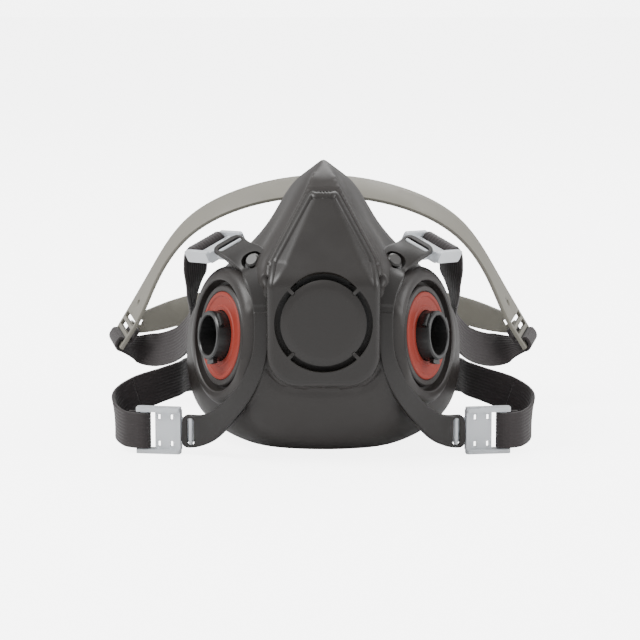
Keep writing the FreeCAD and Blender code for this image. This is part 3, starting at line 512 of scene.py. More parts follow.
def cover_outline(turn, grow=0.0):
    """Distance from the grille's middle to the cover's outline at each angle, moved out by grow:
    the nearest of its straight sides, with round lower corners."""
    dx, dz = np.abs(np.sin(turn)), np.cos(turn)
    corners = (
        (COVER_HALF, COVER_LOW + COVER_CORNER),
        (COVER_HALF, COVER_SHOULDER_Z),
        (COVER_WAIST, COVER_WAIST_Z),
        (COVER_TIP, PANEL_TOP[2]),
        (0.0, PANEL_TOP[2]),
    )
    reach = np.full_like(turn, 1e6)
    for (x0, z0), (x1, z1) in zip(corners, corners[1:]):
        nx, nz = z1 - z0, x0 - x1
        length = math.hypot(nx, nz)
        away = (nx * x0 + nz * (z0 - VALVE_Z)) / length + grow
        facing = (dx * nx + dz * nz) / length
        reach = np.minimum(reach, np.where(facing > 1e-6, away / np.maximum(facing, 1e-6), 1e6))
    down = COVER_LOW - grow - VALVE_Z
    reach = np.minimum(reach, np.where(dz < -1e-6, down / np.minimum(dz, -1e-6), 1e6))
    cx, cz = COVER_HALF - COVER_CORNER, COVER_LOW + COVER_CORNER - VALVE_Z
    along = dx * cx + dz * cz
    off = cx**2 + cz**2 - (COVER_CORNER + grow) ** 2
    rounded = along + np.sqrt(np.maximum(along**2 - off, 0))
    in_corner = (dx * reach > cx) & (dz * reach < cz)
    return np.where(in_corner, rounded, reach)


def pocket_cutter():
    """Closed prism a little larger than the cover, whose back follows the cover's front."""
    turn = np.arange(240) * 2 * math.pi / 240
    edge = cover_outline(turn, POCKET_GAP)
    share = np.array((0.0, 0.25, 0.5, 0.75, 0.9, 1.0))[:, None]
    x, z = edge * share * np.sin(turn), VALVE_Z + edge * share * np.cos(turn)
    back = np.stack((x, smooth_front(z) + POCKET_DEPTH, z), -1)
    front = back[::-1] * (1, 0, 1) + (0, -70.0, 0)
    return close_poles(surface("pocket cutter", np.concatenate((back, front)), True, True))


LEFT_AXIS = PORT_AXIS * (-1, 1, 1)
LEFT_CENTRE = PORT_CENTRE * (-1, 1, 1)
carve(
    face,
    [
        lathe("right seat cutter", INLET_SEAT, PORT_CENTRE, PORT_AXIS),
        lathe("left seat cutter", INLET_SEAT, LEFT_CENTRE, LEFT_AXIS),
        pocket_cutter(),
    ],
)
keep_sharp(face, 40.0)


def new_material(name, colour, roughness):
    """Material with a Principled shader; returns it with its node tree and shader."""
    material = bpy.data.materials.new(name)
    material.use_nodes = True
    tree = material.node_tree
    shader = tree.nodes["Principled BSDF"]
    shader.inputs["Base Color"].default_value = (*colour, 1.0)
    shader.inputs["Roughness"].default_value = roughness
    return material, tree, shader


def grain_group():
    """Moulded grain: fine noise as height, a slow mottle that shifts colour and roughness, and a painted
    top light: a pale tint, in slow patches, where the surface looks up."""
    group = bpy.data.node_groups.new("moulded grain", "ShaderNodeTree")
    ports = (
        ("Colour", "INPUT", "NodeSocketColor", (0.1, 0.1, 0.1, 1)),
        ("Roughness", "INPUT", "NodeSocketFloat", 0.5),
        ("Mottle", "INPUT", "NodeSocketFloat", 0.2),
        # Strength of the painted top light that makes surfaces facing up paler.
        ("Painted Top Light", "INPUT", "NodeSocketFloat", 0.1),
        ("Grain Size", "INPUT", "NodeSocketFloat", 2500.0),
    )
    for name, way, kind, value in ports:
        group.interface.new_socket(name, in_out=way, socket_type=kind).default_value = value
    results = (("Colour", "NodeSocketColor"), ("Roughness", "NodeSocketFloat"), ("Height", "NodeSocketFloat"))
    for name, kind in results:
        group.interface.new_socket(name, in_out="OUTPUT", socket_type=kind)
    add = group.nodes.new
    link = group.links.new
    given = add("NodeGroupInput")
    out = add("NodeGroupOutput")
    place = add("ShaderNodeTexCoord")
    fine = add("ShaderNodeTexNoise")
    fine.inputs["Detail"].default_value = 3.0
    link(place.outputs["Object"], fine.inputs["Vector"])
    link(given.outputs["Grain Size"], fine.inputs["Scale"])
    slow = add("ShaderNodeTexNoise")
    slow.inputs["Scale"].default_value = 60.0
    slow.inputs["Detail"].default_value = 5.0
    link(place.outputs["Object"], slow.inputs["Vector"])
    centred = add("ShaderNodeMath")
    centred.operation = "SUBTRACT"
    centred.inputs[1].default_value = 0.5
    link(slow.outputs["Fac"], centred.inputs[0])
    shift = add("ShaderNodeMath")
    shift.operation = "MULTIPLY"
    link(centred.outputs[0], shift.inputs[0])
    link(given.outputs["Mottle"], shift.inputs[1])
    gain = add("ShaderNodeMath")
    gain.inputs[1].default_value = 1.0
    link(shift.outputs[0], gain.inputs[0])
    tint = add("ShaderNodeVectorMath")
    tint.operation = "SCALE"
    link(given.outputs["Colour"], tint.inputs[0])
    link(gain.outputs[0], tint.inputs["Scale"])
    # Painted top light: surfaces that face up are mixed towards a pale grey, in slow patches.
    look = add("ShaderNodeNewGeometry")
    parts = add("ShaderNodeSeparateXYZ")
    link(look.outputs["Normal"], parts.inputs[0])
    upward = add("ShaderNodeMapRange")
    upward.inputs["From Min"].default_value = 0.2
    upward.inputs["From Max"].default_value = 1.0
    link(parts.outputs["Z"], upward.inputs["Value"])
    patches = add("ShaderNodeMath")
    patches.operation = "MULTIPLY"
    link(upward.outputs["Result"], patches.inputs[0])
    link(slow.outputs["Fac"], patches.inputs[1])
    top_light = add("ShaderNodeMath")
    top_light.operation = "MULTIPLY"
    link(patches.outputs[0], top_light.inputs[0])
    link(given.outputs["Painted Top Light"], top_light.inputs[1])
    mix = add("ShaderNodeMix")
    mix.data_type = "RGBA"
    mix.inputs["B"].default_value = (0.42, 0.4, 0.37, 1)
    link(top_light.outputs[0], mix.inputs["Factor"])
    link(tint.outputs[0], mix.inputs["A"])
    link(mix.outputs["Result"], out.inputs["Colour"])
    rough = add("ShaderNodeMath")
    link(given.outputs["Roughness"], rough.inputs[0])
    link(shift.outputs[0], rough.inputs[1])
    link(rough.outputs[0], out.inputs["Roughness"])
    link(fine.outputs["Fac"], out.inputs["Height"])
    return group


GRAIN = grain_group()


# One argument sets the strength of the painted top light, a pale tint on surfaces that face up.
def moulded(name, colour, roughness, mottle=0.25, top_light=0.15, grain=2500.0, depth=0.02):
    """Material of a moulded piece: the grain group drives colour with a painted top light, roughness and a
    fine bump.
    """
    material, tree, shader = new_material(name, colour, roughness)
    node = tree.nodes.new("ShaderNodeGroup")
    node.node_tree = GRAIN
    node.inputs["Colour"].default_value = (*colour, 1.0)
    node.inputs["Roughness"].default_value = roughness
    node.inputs["Mottle"].default_value = mottle
    node.inputs["Painted Top Light"].default_value = top_light
    node.inputs["Grain Size"].default_value = grain
    bump = tree.nodes.new("ShaderNodeBump")
    bump.inputs["Strength"].default_value = 0.35
    bump.inputs["Distance"].default_value = depth * MM
    tree.links.new(node.outputs["Colour"], shader.inputs["Base Color"])
    tree.links.new(node.outputs["Roughness"], shader.inputs["Roughness"])
    tree.links.new(node.outputs["Height"], bump.inputs["Height"])
    tree.links.new(bump.outputs["Normal"], shader.inputs["Normal"])
    return material


ELASTOMER_COLOUR = (0.0165, 0.0135, 0.0120)
elastomer = moulded("facepiece elastomer", ELASTOMER_COLOUR, 0.45, top_light=0.03, grain=1800.0, depth=0.05)
face.data.materials.append(elastomer)
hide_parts("face_seal")
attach(face, "facepiece")


# --- Exhalation valve ---------------------------------------------------------------------------
# A black moulded ring with a spoked middle, and a thin pale rubber flap whose stem is pulled
# through the hub.
def finish_node(name, material, bevel):
    """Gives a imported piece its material, and softens its edges with a small bevel."""
    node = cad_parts[name]
    for place in node.material_slots:
        place.material = material
    node.modifiers.new("join", "WELD").merge_threshold = 1e-5
    edge = node.modifiers.new("soft edges", "BEVEL")
    edge.width = bevel * MM
    edge.segments = 2
    edge.limit_method = "ANGLE"
    edge.angle_limit = math.radians(40.0)
    edge.harden_normals = True
    return node


seat_plastic = moulded("seat plastic", (0.006, 0.006, 0.006), 0.4)
valve_rubber = moulded("valve rubber", (0.62, 0.56, 0.42), 0.55, mottle=0.12)
finish_node("exhalation_valve_seat", seat_plastic, 0.2)
finish_node("exhalation_valve", valve_rubber, 0.15)


# --- Inlets ---------------------------------------------------------------------------------
# On each cheek a black tube with three lock lugs stands in a flat orange-red gasket; a thin flap
# on a post closes its inner end.
connector_plastic = moulded("connector plastic", (0.006, 0.006, 0.006), 0.33, top_light=0.03)
gasket_rubber = moulded("gasket rubber", (0.24, 0.022, 0.010), 0.6, mottle=0.18, top_light=0.03)
for side in ("right", "left"):
    finish_node(f"{side}_bayonet_connector", connector_plastic, 0.25)
    finish_node(f"{side}_port_gasket", gasket_rubber, 0.25)
    finish_node(f"{side}_inhalation_valve", valve_rubber, 0.15)


# --- Valve cover --------------------------------------------------------------------------------
# A matt plastic snap-on cover: a round grille over the exhalation valve, and a bevelled panel that
# slopes back up the nose and ends in a row of small teeth.
COVER_BACK = -42.6
COVER_WALL = 1.6
GRILLE_DISC_R = 18.0
GRILLE_RING_R = 21.0
GRILLE_RIB_W = 1.4
PANEL_T = 3.0
COVER_AROUND = 480


def cover_front(x, z):
    """Depth of the cover's front, with a bevel down each long side of the panel that widens
    towards the grille and runs out in the rounded shoulders."""
    heights = (COVER_SHOULDER_Z, COVER_WAIST_Z, PANEL_TOP[2])
    half = np.interp(z, heights, (COVER_HALF, COVER_WAIST, COVER_TIP))
    bevel = np.interp(z, (COVER_SHOULDER_Z - 3.0, COVER_WAIST_Z - 1.0, PANEL_TOP[2]), (0.0, 5.6, 2.0))
    depth = smooth_max(bevel - (half - np.abs(x)), np.zeros_like(x), 0.5) * 0.75
    return smooth_front(z) + depth


turn = np.arange(COVER_AROUND) * 2 * math.pi / COVER_AROUND
reach = cover_outline(turn)
teeth = 0.55 * (0.5 + 0.5 * np.cos(reach * np.sin(turn) * 2 * math.pi / 1.5))
reach = reach - teeth * ((np.abs(reach * np.sin(turn)) < 4.6) & (np.cos(turn) > 0))
EDGE_ROUND = 1.5
inner_radii = np.array((1e-4, 3, 6, 9, 12, 14.5, 16.5, 17.5, GRILLE_DISC_R))
rings = [np.full(COVER_AROUND, r) for r in inner_radii]
rings += [np.full(COVER_AROUND, r) for r in (19.0, 20.2, GRILLE_RING_R)]
slot_rows = (len(inner_radii) - 1, len(rings) - 2)
flat_edge = reach - EDGE_ROUND
for f in np.linspace(0, 1, 22)[1:]:
    rings.append(GRILLE_RING_R + (flat_edge - GRILLE_RING_R) * f)
radius = np.array(rings)
x = radius * np.sin(turn)
z = VALVE_Z + radius * np.cos(turn)
top = np.stack((x, cover_front(x, z), z), -1)
disc_edge = smooth_step(radius, 16.2, GRILLE_DISC_R) * (radius <= GRILLE_DISC_R + 0.01)
top[..., 1] += 0.7 * disc_edge * (radius <= GRILLE_DISC_R + 0.01)
arc = np.linspace(0, math.pi / 2, 7)[1:, None]
edge_r = flat_edge + EDGE_ROUND * np.sin(arc)
ex, ez = edge_r * np.sin(turn), VALVE_Z + edge_r * np.cos(turn)
edge_base = cover_front(x[-1], z[-1])[None]
edge_depth = edge_base + EDGE_ROUND * (1 - np.cos(arc))
rounded = np.stack((ex, edge_depth, ez), -1)
side_end = np.maximum(COVER_BACK, edge_depth[-1] + PANEL_T - EDGE_ROUND)
steps = np.linspace(0, 1, 7)[1:, None]
side_depth = edge_depth[-1] + (side_end - edge_depth[-1]) * steps
side_wall = np.stack(np.broadcast_arrays(ex[-1], side_depth, ez[-1]), -1)
cover_grid = np.concatenate((top, rounded, side_wall))
keep = np.ones((len(cover_grid) - 1, COVER_AROUND), bool)
middle = turn + math.pi / COVER_AROUND
rib = np.zeros(COVER_AROUND, bool)
for k in range(4):
    gap = np.abs((middle - math.pi / 4 - k * math.pi / 2 + math.pi) % (2 * math.pi) - math.pi)
    rib |= gap * GRILLE_RING_R < GRILLE_RIB_W / 2
for row in range(*slot_rows):
    keep[row] = rib
keep[slot_rows[1]] = rib
cover = surface("exhalation_cover", cover_grid, close_cols=True, keep=keep, flip=True)
close_poles(cover)
wall = cover.modifiers.new("wall", "SOLIDIFY")
wall.thickness = COVER_WALL * MM
wall.offset = -1.0
wall.use_even_offset = False
soft = cover.modifiers.new("soft edges", "BEVEL")
soft.width = 0.25 * MM
soft.segments = 2
soft.limit_method = "ANGLE"
soft.angle_limit = math.radians(50.0)
cover_plastic = moulded("cover plastic", (0.0125, 0.0104, 0.0093), 0.42, top_light=0.02)
cover.data.materials.append(cover_plastic)
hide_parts("valve_cover")
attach(cover, "valve_cover")


# --- Harness yokes ------------------------------------------------------------------------------
# On each side one flat moulded band: a slotted upper arm, a button that pins it to the shell, a
# narrow strip down beside the cover, and a slotted lower arm.
UPPER_SLOT = np.array((40.7, -15.6, 92.6))
UPPER_OUT = np.array((0.62, 0.73, 0.288))
UPPER_ACROSS = np.array((-0.773, 0.503, 0.389))
LOWER_SLOT = np.array((58.4, -19.0, 10.6))
LOWER_OUT = np.array((0.99, 0.14, 0.0))
ARM_WIDTH = 15.0
ARM_END = 4.0
SLOT_HALF = 1.7
SLOT_LENGTH = 12.4
STUD_AT = np.array((30.2, -28.0, 87.6))
STUD_OUT = np.array((0.406, -0.66, 0.573))
YOKE_FRONT = 1.0
YOKE_STATIONS = (
    (UPPER_SLOT + UPPER_OUT * ARM_END, UPPER_ACROSS, ARM_WIDTH, 0.7),
    (UPPER_SLOT, UPPER_ACROSS, ARM_WIDTH, 0.7),
    (UPPER_SLOT - UPPER_OUT * 5, UPPER_ACROSS, ARM_WIDTH - 1, 1.2),
    (STUD_AT, (-0.66, 0.26, 0.7), 14.0, 4.0),
    ((28.6, -37.6, 83.0), (-0.88, 0.25, 0.4), 12.0, 4.0),
    ((27.2, -42.3, 77.0), (-0.97, 0.1, 0.2), 9.0, 4.0),
    ((26.5, -44.8, 69.0), (-1.0, 0.0, 0.0), 7.0, 4.0),
    ((26.6, -45.6, 60.0), (-1.0, 0.0, 0.0), 6.4, 4.0),
    ((27.4, -45.8, 50.0), (-1.0, 0.0, -0.15), 6.4, 4.0),
    ((30.6, -44.8, 40.0), (-0.88, -0.1, -0.45), 7.2, 4.0),
    ((37.0, -39.2, 28.5), (-0.72, -0.2, -0.65), 8.2, 4.0),
    ((44.4, -31.0, 19.2), (-0.6, -0.2, -0.77), 9.5, 3.0),
    ((51.5, -24.0, 12.8), (-0.3, -0.1, -0.95), 12.5, 2.0),
    (LOWER_SLOT, (0.0, 0.0, -1.0), ARM_WIDTH, 1.0),
    (LOWER_SLOT + LOWER_OUT * ARM_END, (0.0, 0.0, -1.0), ARM_WIDTH, 1.0),
)
END_ROUND = 3.2
YOKE_STEP = 0.45
STEP_Z = 71.0
STEP_END_Z = 68.4


def unit(v):
    v = np.asarray(v, float)
    return v / np.linalg.norm(v, axis=-1, keepdims=True)


def carried(profile_x, profile_z, path, across):
    """Grid from a profile carried along a path: profile_x runs along across, made square to the
    path, and profile_z along the outward normal. Profiles are (along, round) arrays."""
    along = unit(np.gradient(path, axis=0))
    side = unit(across - along * np.sum(across * along, axis=1, keepdims=True))
    out = np.cross(side, along)
    return path[:, None] + profile_x[..., None] * side[:, None] + profile_z[..., None] * out[:, None]


def capped(grid):
    """Closes both ends of a tube of rings with rings drawn in to their middles."""
    def cap(ring):
        centre = ring.mean(0)
        return [centre + (ring - centre) * s for s in (1e-5, 0.5)]

    first, last = cap(grid[0]), cap(grid[-1])
    return np.concatenate((np.array(first), grid, np.array(last[::-1])))


def yoke_mesh(name, mirror):
    """Flat band through the stations, with rounded long edges and rounded ends."""
    centre = np.array([s[0] for s in YOKE_STATIONS], float)
    table = np.array([(*s[1], s[2], s[3]) for s in YOKE_STATIONS], float)
    length = np.concatenate(([0.0], np.cumsum(np.linalg.norm(np.diff(centre, axis=0), axis=1))))
    s = np.linspace(0, length[-1], 260)
    path = natural_spline(length, centre, s)
    across = natural_spline(length, table[:, :3], s)
    width = np.interp(s, length, table[:, 3])
    kernel = np.ones(15) / 15
    width = np.convolve(np.pad(width, 7, mode="edge"), kernel, "valid")
    buried = np.interp(s, length, table[:, 4])
    tip = np.minimum(s, length[-1] - s)
    short = END_ROUND - np.sqrt(np.maximum(END_ROUND**2 - np.maximum(END_ROUND - tip, 0) ** 2, 0))
    half = width / 2 - short * 0.95
    edge = 0.6
    corner_turn = np.linspace(0, math.pi / 2, 5)
    flat_x = (half - edge)[:, None] * np.linspace(-1, 1, 25)[1:-1]
    right_x = half[:, None] - edge + edge * np.sin(corner_turn)
    step_down = YOKE_STEP * smooth_step(path[:, 2], STEP_Z + 0.4, STEP_Z - 0.4)
    front = np.where(path[:, 2] > STEP_END_Z, YOKE_FRONT - step_down, YOKE_FRONT)[:, None]
    edge_z = front - edge + edge * np.cos(corner_turn)
    ring_x = np.concatenate((flat_x, right_x, half[:, None], -half[:, None], -right_x[:, ::-1]), axis=1)
    ring_z = np.concatenate(
        (front + 0 * flat_x, edge_z, -buried[:, None], -buried[:, None], edge_z[:, ::-1]), axis=1
    )
    grid = capped(carried(ring_x, ring_z, path, across))
    if mirror:
        grid = mirror_x(grid)
    return close_poles(surface(name, grid, close_rows=True, close_cols=True))


def slot_cutter(name, origin, out, across, length, half, mirror):
    """Long hole with round ends, as a prism: a stadium outline in the plane of out and across."""
    out, across = unit(out), unit(across)
    normal = np.cross(out, across)
    turn = np.arange(48) * 2 * math.pi / 48
    x = half * np.cos(turn)
    y = half * np.sin(turn) + np.sign(np.sin(turn)) * (length / 2 - half)
    ring = origin + x[:, None] * out + y[:, None] * across
    rows = [ring + normal * h for h in (-9.0, 9.0)]
    grid = capped(np.array(rows))
    if mirror:
        grid = mirror_x(grid)
    return close_poles(surface(name, grid, close_rows=True, close_cols=True))


yoke_plastic = moulded("yoke plastic", (0.0110, 0.0092, 0.0082), 0.46, top_light=0.02)
stud_plastic = moulded("stud plastic", (0.012, 0.0105, 0.0095), 0.35)
for side, mirror in (("right", False), ("left", True)):
    yoke = yoke_mesh(f"{side}_yoke_band", mirror)
    keyhole_across = np.cross(unit(STUD_OUT), unit(UPPER_OUT))
    keyhole_out = np.cross(keyhole_across, unit(STUD_OUT))
    cutters = [
        slot_cutter("upper slot", UPPER_SLOT, UPPER_OUT, UPPER_ACROSS, SLOT_LENGTH, SLOT_HALF, mirror),
        slot_cutter("lower slot", LOWER_SLOT, LOWER_OUT, (0, 0, 1), SLOT_LENGTH, SLOT_HALF, mirror),
        slot_cutter("stud hole", STUD_AT, keyhole_across, keyhole_out, 11.6, 4.6, mirror),
    ]
    carve(yoke, cutters)
    keep_sharp(yoke, 40.0)
    yoke.data.materials.append(yoke_plastic)
    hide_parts(f"{side}_harness_yoke")
    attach(yoke, "facepiece")
    finish_node(f"{side}_yoke_stud", stud_plastic, 0.3)


# --- Buckles ------------------------------------------------------------------------------------
# Four milky white moulded slides, each hooked through an arm's slot; the webbing passes round the
# outer bar.
buckle_plastic = moulded("buckle plastic", (0.80, 0.83, 0.86), 0.34, mottle=0.05, top_light=0.0)
buckle_shader = buckle_plastic.node_tree.nodes["Principled BSDF"]
buckle_shader.inputs["Transmission Weight"].default_value = 0.35
buckle_shader.inputs["IOR"].default_value = 1.4
for side in ("right", "left"):
    finish_node(f"{side}_upper_buckle", buckle_plastic, 0.3)
    finish_node(f"{side}_lower_buckle", buckle_plastic, 0.3)


# --- Straps -------------------------------------------------------------------------------------
# Ribbed elastic webbing, 16 mm wide. The upper straps run from the upper buckles back and down to
# the cradle's plates, and the lower ones sweep out and back to the neck clip.
STRAP_W = 16.0
STRAP_T = 1.5
STRAP_RIBS = 11
STRAP_GAP = 0.35
BUCKLE_FAR = 24.4
LACE_BAR_AT = 21.3
LACE_BAR_R = 1.5
LACE_BAR_Z = -0.8
UPPER_DROOP = math.radians(24.0)
LOOP_MID = LACE_BAR_R + STRAP_GAP + STRAP_T / 2


def axes(out, across):
    """Square x, y, z: x along out, y in the plane of across."""
    x = unit(out)
    z = unit(np.cross(x, across))
    return x, np.cross(z, x), z


def upper_buckle_axes():
    """Axes of the upper buckle, which hangs below its arm's plane."""
    x, y, z = axes(UPPER_OUT, UPPER_ACROSS)
    c, s = math.cos(UPPER_DROOP), math.sin(UPPER_DROOP)
    return x * c - z * s, y, z * c + x * s


def arc_points(cx, cz, r, start, end, steps):
    a = np.radians(np.linspace(start, end, steps))
    return np.column_stack((cx + r * np.cos(a), cz + r * np.sin(a)))


def smooth_through(points, steps):
    """Catmull-Rom curve: between each two points a cubic whose end slopes are half the distance
    between their neighbours."""
    p = np.concatenate((points[:1], points, points[-1:]))
    a, b, c, d = p[:-3], p[1:-2], p[2:-1], p[3:]
    t = (np.arange(steps) / steps)[None, :, None]
    a, b, c, d = (v[:, None] for v in (a, b, c, d))
    rows = 0.5 * (2 * b + (c - a) * t + (2 * a - 5 * b + 4 * c - d) * t**2 + (3 * b - a - 3 * c + d) * t**3)
    return np.concatenate((rows.reshape(-1, points.shape[1]), points[-1:]))


def resampled(path, across, spacing):
    """Even steps along a path, with the across vectors carried over."""
    steps = np.linalg.norm(np.diff(path, axis=0), axis=1)
    keep = np.concatenate(([True], steps > 1e-4))
    path, across = path[keep], across[keep]
    length = np.concatenate(([0.0], np.cumsum(np.linalg.norm(np.diff(path, axis=0), axis=1))))
    s = np.linspace(0, length[-1], max(int(length[-1] / spacing), 8))
    pick = [np.interp(s, length, v) for v in (*path.T, *across.T)]
    return np.column_stack(pick[:3]), np.column_stack(pick[3:]), s


def strap_mesh(name, path, across, mirror):
    """Webbing along a path: a flat oval profile whose two faces carry rounded ribs lengthwise, the
    rib height following the size of a sine across the width."""
    path, across, s = resampled(path, across, 0.9)
    u = np.linspace(-1, 1, STRAP_RIBS * 8 + 1)
    thin = STRAP_T / 2 - 0.14
    rib = 0.14 * np.abs(np.cos(u * math.pi / 2 * STRAP_RIBS))
    edge = np.sqrt(np.clip((1 - np.abs(u)) / 0.045, 0, 1))
    face_z = (thin + rib) * np.maximum(edge, 0.25)
    x = np.concatenate((u, u[::-1])) * STRAP_W / 2
    zed = np.concatenate((face_z, -face_z[::-1]))
    v = np.concatenate((u, u[::-1])) * 0.5 + 0.5
    n = len(s)
    grid = carried(np.broadcast_to(x, (n, len(x))), np.broadcast_to(zed, (n, len(x))), path, across)
    grid = capped(grid)
    along = np.concatenate(([0.0, 0.0], s, [s[-1], s[-1]])) / STRAP_W
    uv = np.stack(np.broadcast_arrays(along[:, None], v[None]), -1)
    if mirror:
        grid = mirror_x(grid)
    strap = surface(name, grid, close_rows=True, close_cols=True, uv=uv)
    strap.data.materials.append(strap_webbing)
    return strap


def webbing_material():
    """Dark elastic webbing: fine cross threads from a wave along the strap, broken by the ribs'
    own spacing, over a soft fibre noise."""
    material, tree, shader = new_material("strap webbing", (0.035, 0.030, 0.029), 0.8)
    shader.inputs["Sheen Weight"].default_value = 0.25
    shader.inputs["Sheen Roughness"].default_value = 0.5
    add, link = tree.nodes.new, tree.links.new
    uv = add("ShaderNodeUVMap")
    uv.uv_map = "UVMap"
    threads = add("ShaderNodeTexWave")
    threads.bands_direction = "X"
    threads.inputs["Scale"].default_value = 9.0
    threads.inputs["Distortion"].default_value = 0.6
    link(uv.outputs["UV"], threads.inputs["Vector"])
    place = add("ShaderNodeTexCoord")
    fibre = add("ShaderNodeTexNoise")
    fibre.inputs["Scale"].default_value = 1500.0
    fibre.inputs["Detail"].default_value = 4.0
    link(place.outputs["Object"], fibre.inputs["Vector"])
    both = add("ShaderNodeMath")
    both.operation = "MULTIPLY_ADD"
    both.inputs[1].default_value = 0.6
    link(threads.outputs["Fac"], both.inputs[0])
    link(fibre.outputs["Fac"], both.inputs[2])
    tone = add("ShaderNodeValToRGB")
    tone.color_ramp.elements[0].color = (0.006, 0.0045, 0.0048, 1)
    tone.color_ramp.elements[1].color = (0.024, 0.018, 0.0185, 1)
    link(both.outputs[0], tone.inputs["Fac"])
    link(tone.outputs["Color"], shader.inputs["Base Color"])
    bump = add("ShaderNodeBump")
    bump.inputs["Strength"].default_value = 0.5
    bump.inputs["Distance"].default_value = 0.12 * MM
    link(both.outputs[0], bump.inputs["Height"])
    link(bump.outputs["Normal"], shader.inputs["Normal"])
    return material


strap_webbing = webbing_material()


def buckle_turn(origin, x, y, z, tail):
    """Path from the loose tail, round the buckle's outer bar, to its front: points and across."""
    rear = LACE_BAR_Z - LOOP_MID
    flat = [(LACE_BAR_AT + tail, rear), *arc_points(LACE_BAR_AT, LACE_BAR_Z, LOOP_MID, 270, 90, 25)]
    flat.append((BUCKLE_FAR - 1.0, LACE_BAR_Z + LOOP_MID))
    flat = np.array(flat)
    path = origin + flat[:, :1] * x + flat[:, 1:] * z
    return path, np.broadcast_to(y, path.shape)


def joined(*pieces):
    return np.concatenate([p for p, _ in pieces]), np.concatenate([a for _, a in pieces])


def run_points(points):
    """Curve through (centre, across) points, as points and across vectors."""
    table = np.array([(*c, *a) for c, a in points], float)
    rows = smooth_through(table, 14)
    return rows[:, :3], rows[:, 3:]


CRADLE_T = 1.8
PLATE_AT = np.array((96.0, 87.0, 34.5))
PLATE_DOWN = np.array((0.52, 0.0, -0.86))
PLATE_ACROSS = np.array((0.256, 0.954, 0.154))
END_BAR_R = 1.7
END_BAR_AT = (2.6 / 2 + 4.3) / 2
PLATE_MID = END_BAR_R + STRAP_GAP + STRAP_T / 2
LOOP_START = -31.0
LOOP_BEND = 0.3
TAIL_END = -7.0


def plate_turn():
    """Path round the plate's end bar, in through the first slot and up the inside."""
    px, py, pz = axes(PLATE_DOWN, PLATE_ACROSS)
    bend = STRAP_T / 2 + LOOP_BEND
    down = CRADLE_T / 2 + STRAP_T + 0.05
    flat = np.concatenate(
        (
            arc_points(END_BAR_AT, 0, PLATE_MID, LOOP_START, 90, 20),
            arc_points(bend, PLATE_MID - bend, bend, 90, 180, 8),
            arc_points(-bend, -down, bend, 360, 270, 8),
            [(TAIL_END, -down - bend)],
        )
    )
    path = PLATE_AT + flat[:, :1] * px + flat[:, 1:] * pz
    return path, np.broadcast_to(py, path.shape)


bx, by, bz = upper_buckle_axes()
upper_start = buckle_turn(UPPER_SLOT, bx, by, bz, 9.0)
plate_end = plate_turn()
UPPER_RUN = (
    (upper_start[0][-1], by),
    ((56.0, 9.0, 87.5), (-0.68, 0.65, 0.25)),
    ((57.0, 12.5, 80.0), (-0.6, 0.78, 0.15)),
    ((57.0, 18.0, 72.0), (-0.45, 0.82, 0.3)),
    ((58.0, 29.0, 64.5), (-0.25, 0.8, 0.5)),
    ((59.6, 42.0, 55.5), (-0.1, 0.6, 0.79)),
    ((61.5, 56.0, 43.5), (0.0, 0.4, 0.92)),
    ((68.0, 69.0, 34.0), (0.0, 0.3, 0.95)),
    ((78.0, 81.0, 28.5), (0.03, 0.35, 0.93)),
    ((87.5, 88.5, 27.8), (0.15, 0.75, 0.64)),
    (plate_end[0][0], plate_end[1][0]),
)
lx, ly, lz = axes(LOWER_OUT, (0.0, 0.0, 1.0))
lower_start = buckle_turn(LOWER_SLOT, lx, ly, lz, 7.0)
CLIP_Y = 95.0
CLIP_MID_Z = 10.5
UP = (0.0, 0.0, 1.0)
LOWER_RUN = (
    (lower_start[0][-1], ly),
    ((87.8, -14.6, 11.0), UP),
    ((92.0, -7.0, 13.0), (0.05, 0.0, 1.0)),
    ((91.2, 2.0, 17.5), (0.12, 0.05, 1.0)),
    ((84.0, 9.5, 21.5), (0.1, 0.1, 1.0)),
    ((74.0, 16.5, 24.0), UP),
    ((66.0, 27.0, 25.0), UP),
    ((62.0, 43.0, 24.0), UP),
    ((50.0, 63.0, 20.0), UP),
    ((33.0, 83.5, 15.0), UP),
    ((22.0, CLIP_Y - 1.6, CLIP_MID_Z + 1.0), UP),
    ((16.0, CLIP_Y, CLIP_MID_Z), UP),
    ((10.4, CLIP_Y, CLIP_MID_Z), UP),
)
SPLIT = 14 * 4


def split_run(run):
    """The run as a front part and a rear part that share one point."""
    path, across = run_points(run)
    return (path[: SPLIT + 1], across[: SPLIT + 1]), (path[SPLIT:], across[SPLIT:])


for side, mirror in (("right", False), ("left", True)):
    front, rear = split_run(UPPER_RUN)
    strap = strap_mesh(f"{side}_upper_strap_front", *joined(upper_start, front), mirror)
    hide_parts(f"{side}_upper_strap")
    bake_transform(strap)
    strap = strap_mesh(f"{side}_upper_strap_rear", *joined(rear, plate_end), mirror)
    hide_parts(f"{side}_upper_strap")
    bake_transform(strap)
    front, rear = split_run(LOWER_RUN)
    strap = strap_mesh(f"{side}_lower_strap_front", *joined(lower_start, front), mirror)
    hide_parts(f"{side}_lower_strap")
    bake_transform(strap)
    strap = strap_mesh(f"{side}_lower_strap_rear", *rear, mirror)
    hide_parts(f"{side}_lower_strap")
    if mirror:
        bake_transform(strap)
    else:
        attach(strap, "facepiece")


# --- Crown cradle and neck clip -----------------------------------------------------------------
# The cradle is one flexible beige-grey moulding: a band over the crown and one behind the head
# that meet in slotted plates. The neck clip is a milky white hook and loop.
cradle_plastic = moulded("cradle plastic", (0.20, 0.19, 0.16), 0.5, mottle=0.12, top_light=0.05)
finish_node("crown_cradle", cradle_plastic, 0.4)
finish_node("neck_clip_loop", buckle_plastic, 0.3)
finish_node("neck_clip_hook", buckle_plastic, 0.3)


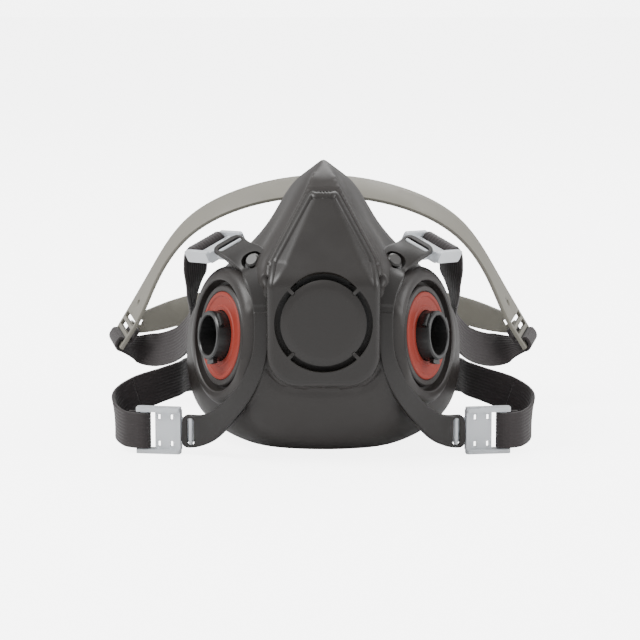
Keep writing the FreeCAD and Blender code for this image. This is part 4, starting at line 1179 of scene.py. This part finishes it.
# --- Studio -------------------------------------------------------------------------------------
# A pale floor under a near-white surround, a broad soft key from the upper left, a weaker fill
# from the right, and a long camera a little above the middle of the object.
floor_mesh = bpy.data.meshes.new("floor")
FLOOR = 3.0
FLOOR_GLOW = 5.0
WORLD_LIGHT = 0.8
WORLD_SEEN = 6.0
floor_corners = [(-FLOOR, -FLOOR, 0), (FLOOR, -FLOOR, 0), (FLOOR, FLOOR, 0), (-FLOOR, FLOOR, 0)]
floor_mesh.from_pydata(floor_corners, [], [(0, 1, 2, 3)])
floor = bpy.data.objects.new("floor", floor_mesh)
bpy.context.scene.collection.objects.link(floor)
floor_paint, floor_tree, floor_shader = new_material("pale floor", (0.85, 0.85, 0.85), 0.9)
floor_shader.inputs["Emission Color"].default_value = (1, 1, 1, 1)
seen = floor_tree.nodes.new("ShaderNodeLightPath")
glow = floor_tree.nodes.new("ShaderNodeMath")
glow.operation = "MULTIPLY"
glow.inputs[1].default_value = FLOOR_GLOW
floor_tree.links.new(seen.outputs["Is Camera Ray"], glow.inputs[0])
floor_tree.links.new(glow.outputs[0], floor_shader.inputs["Emission Strength"])
floor_mesh.materials.append(floor_paint)

world = bpy.data.worlds.new("studio")
bpy.context.scene.world = world
world.use_nodes = True
world_tree = world.node_tree
background = world_tree.nodes["Background"]
background.inputs["Color"].default_value = (1, 1, 1, 1)
ray = world_tree.nodes.new("ShaderNodeLightPath")
brightness = world_tree.nodes.new("ShaderNodeMapRange")
brightness.inputs["To Min"].default_value = WORLD_LIGHT
brightness.inputs["To Max"].default_value = WORLD_SEEN
world_tree.links.new(ray.outputs["Is Camera Ray"], brightness.inputs["Value"])
world_tree.links.new(brightness.outputs["Result"], background.inputs["Strength"])

CAMERA_TARGET = Vector((-0.0015, DEPTH_SHIFT * MM, 0.057))
CAMERA_PITCH = math.radians(10.0)
CAMERA_DISTANCE = 1.2


def soft_light(name, place, size, power):
    """Square area light that faces the object's middle."""
    light = bpy.data.lights.new(name, "AREA")
    light.size = size
    light.energy = power
    lamp = bpy.data.objects.new(name, light)
    lamp.location = place
    lamp.rotation_euler = (CAMERA_TARGET - Vector(place)).to_track_quat("-Z", "Y").to_euler()
    bpy.context.scene.collection.objects.link(lamp)


soft_light("key", (-0.8, -0.35, 1.0), 0.6, 18.0)
soft_light("fill", (1.0, -0.25, 0.6), 0.7, 9.0)
soft_light("rim", (0.2, 0.8, 0.9), 0.7, 6.0)

camera_data = bpy.data.cameras.new("camera")
camera_data.sensor_width = 36.0
camera_data.lens = 151.875
camera = bpy.data.objects.new("camera", camera_data)
back = Vector((0, -math.cos(CAMERA_PITCH), math.sin(CAMERA_PITCH)))
camera.location = CAMERA_TARGET + back * CAMERA_DISTANCE
camera.rotation_euler = back.to_track_quat("Z", "Y").to_euler()
bpy.context.scene.collection.objects.link(camera)
bpy.context.scene.camera = camera
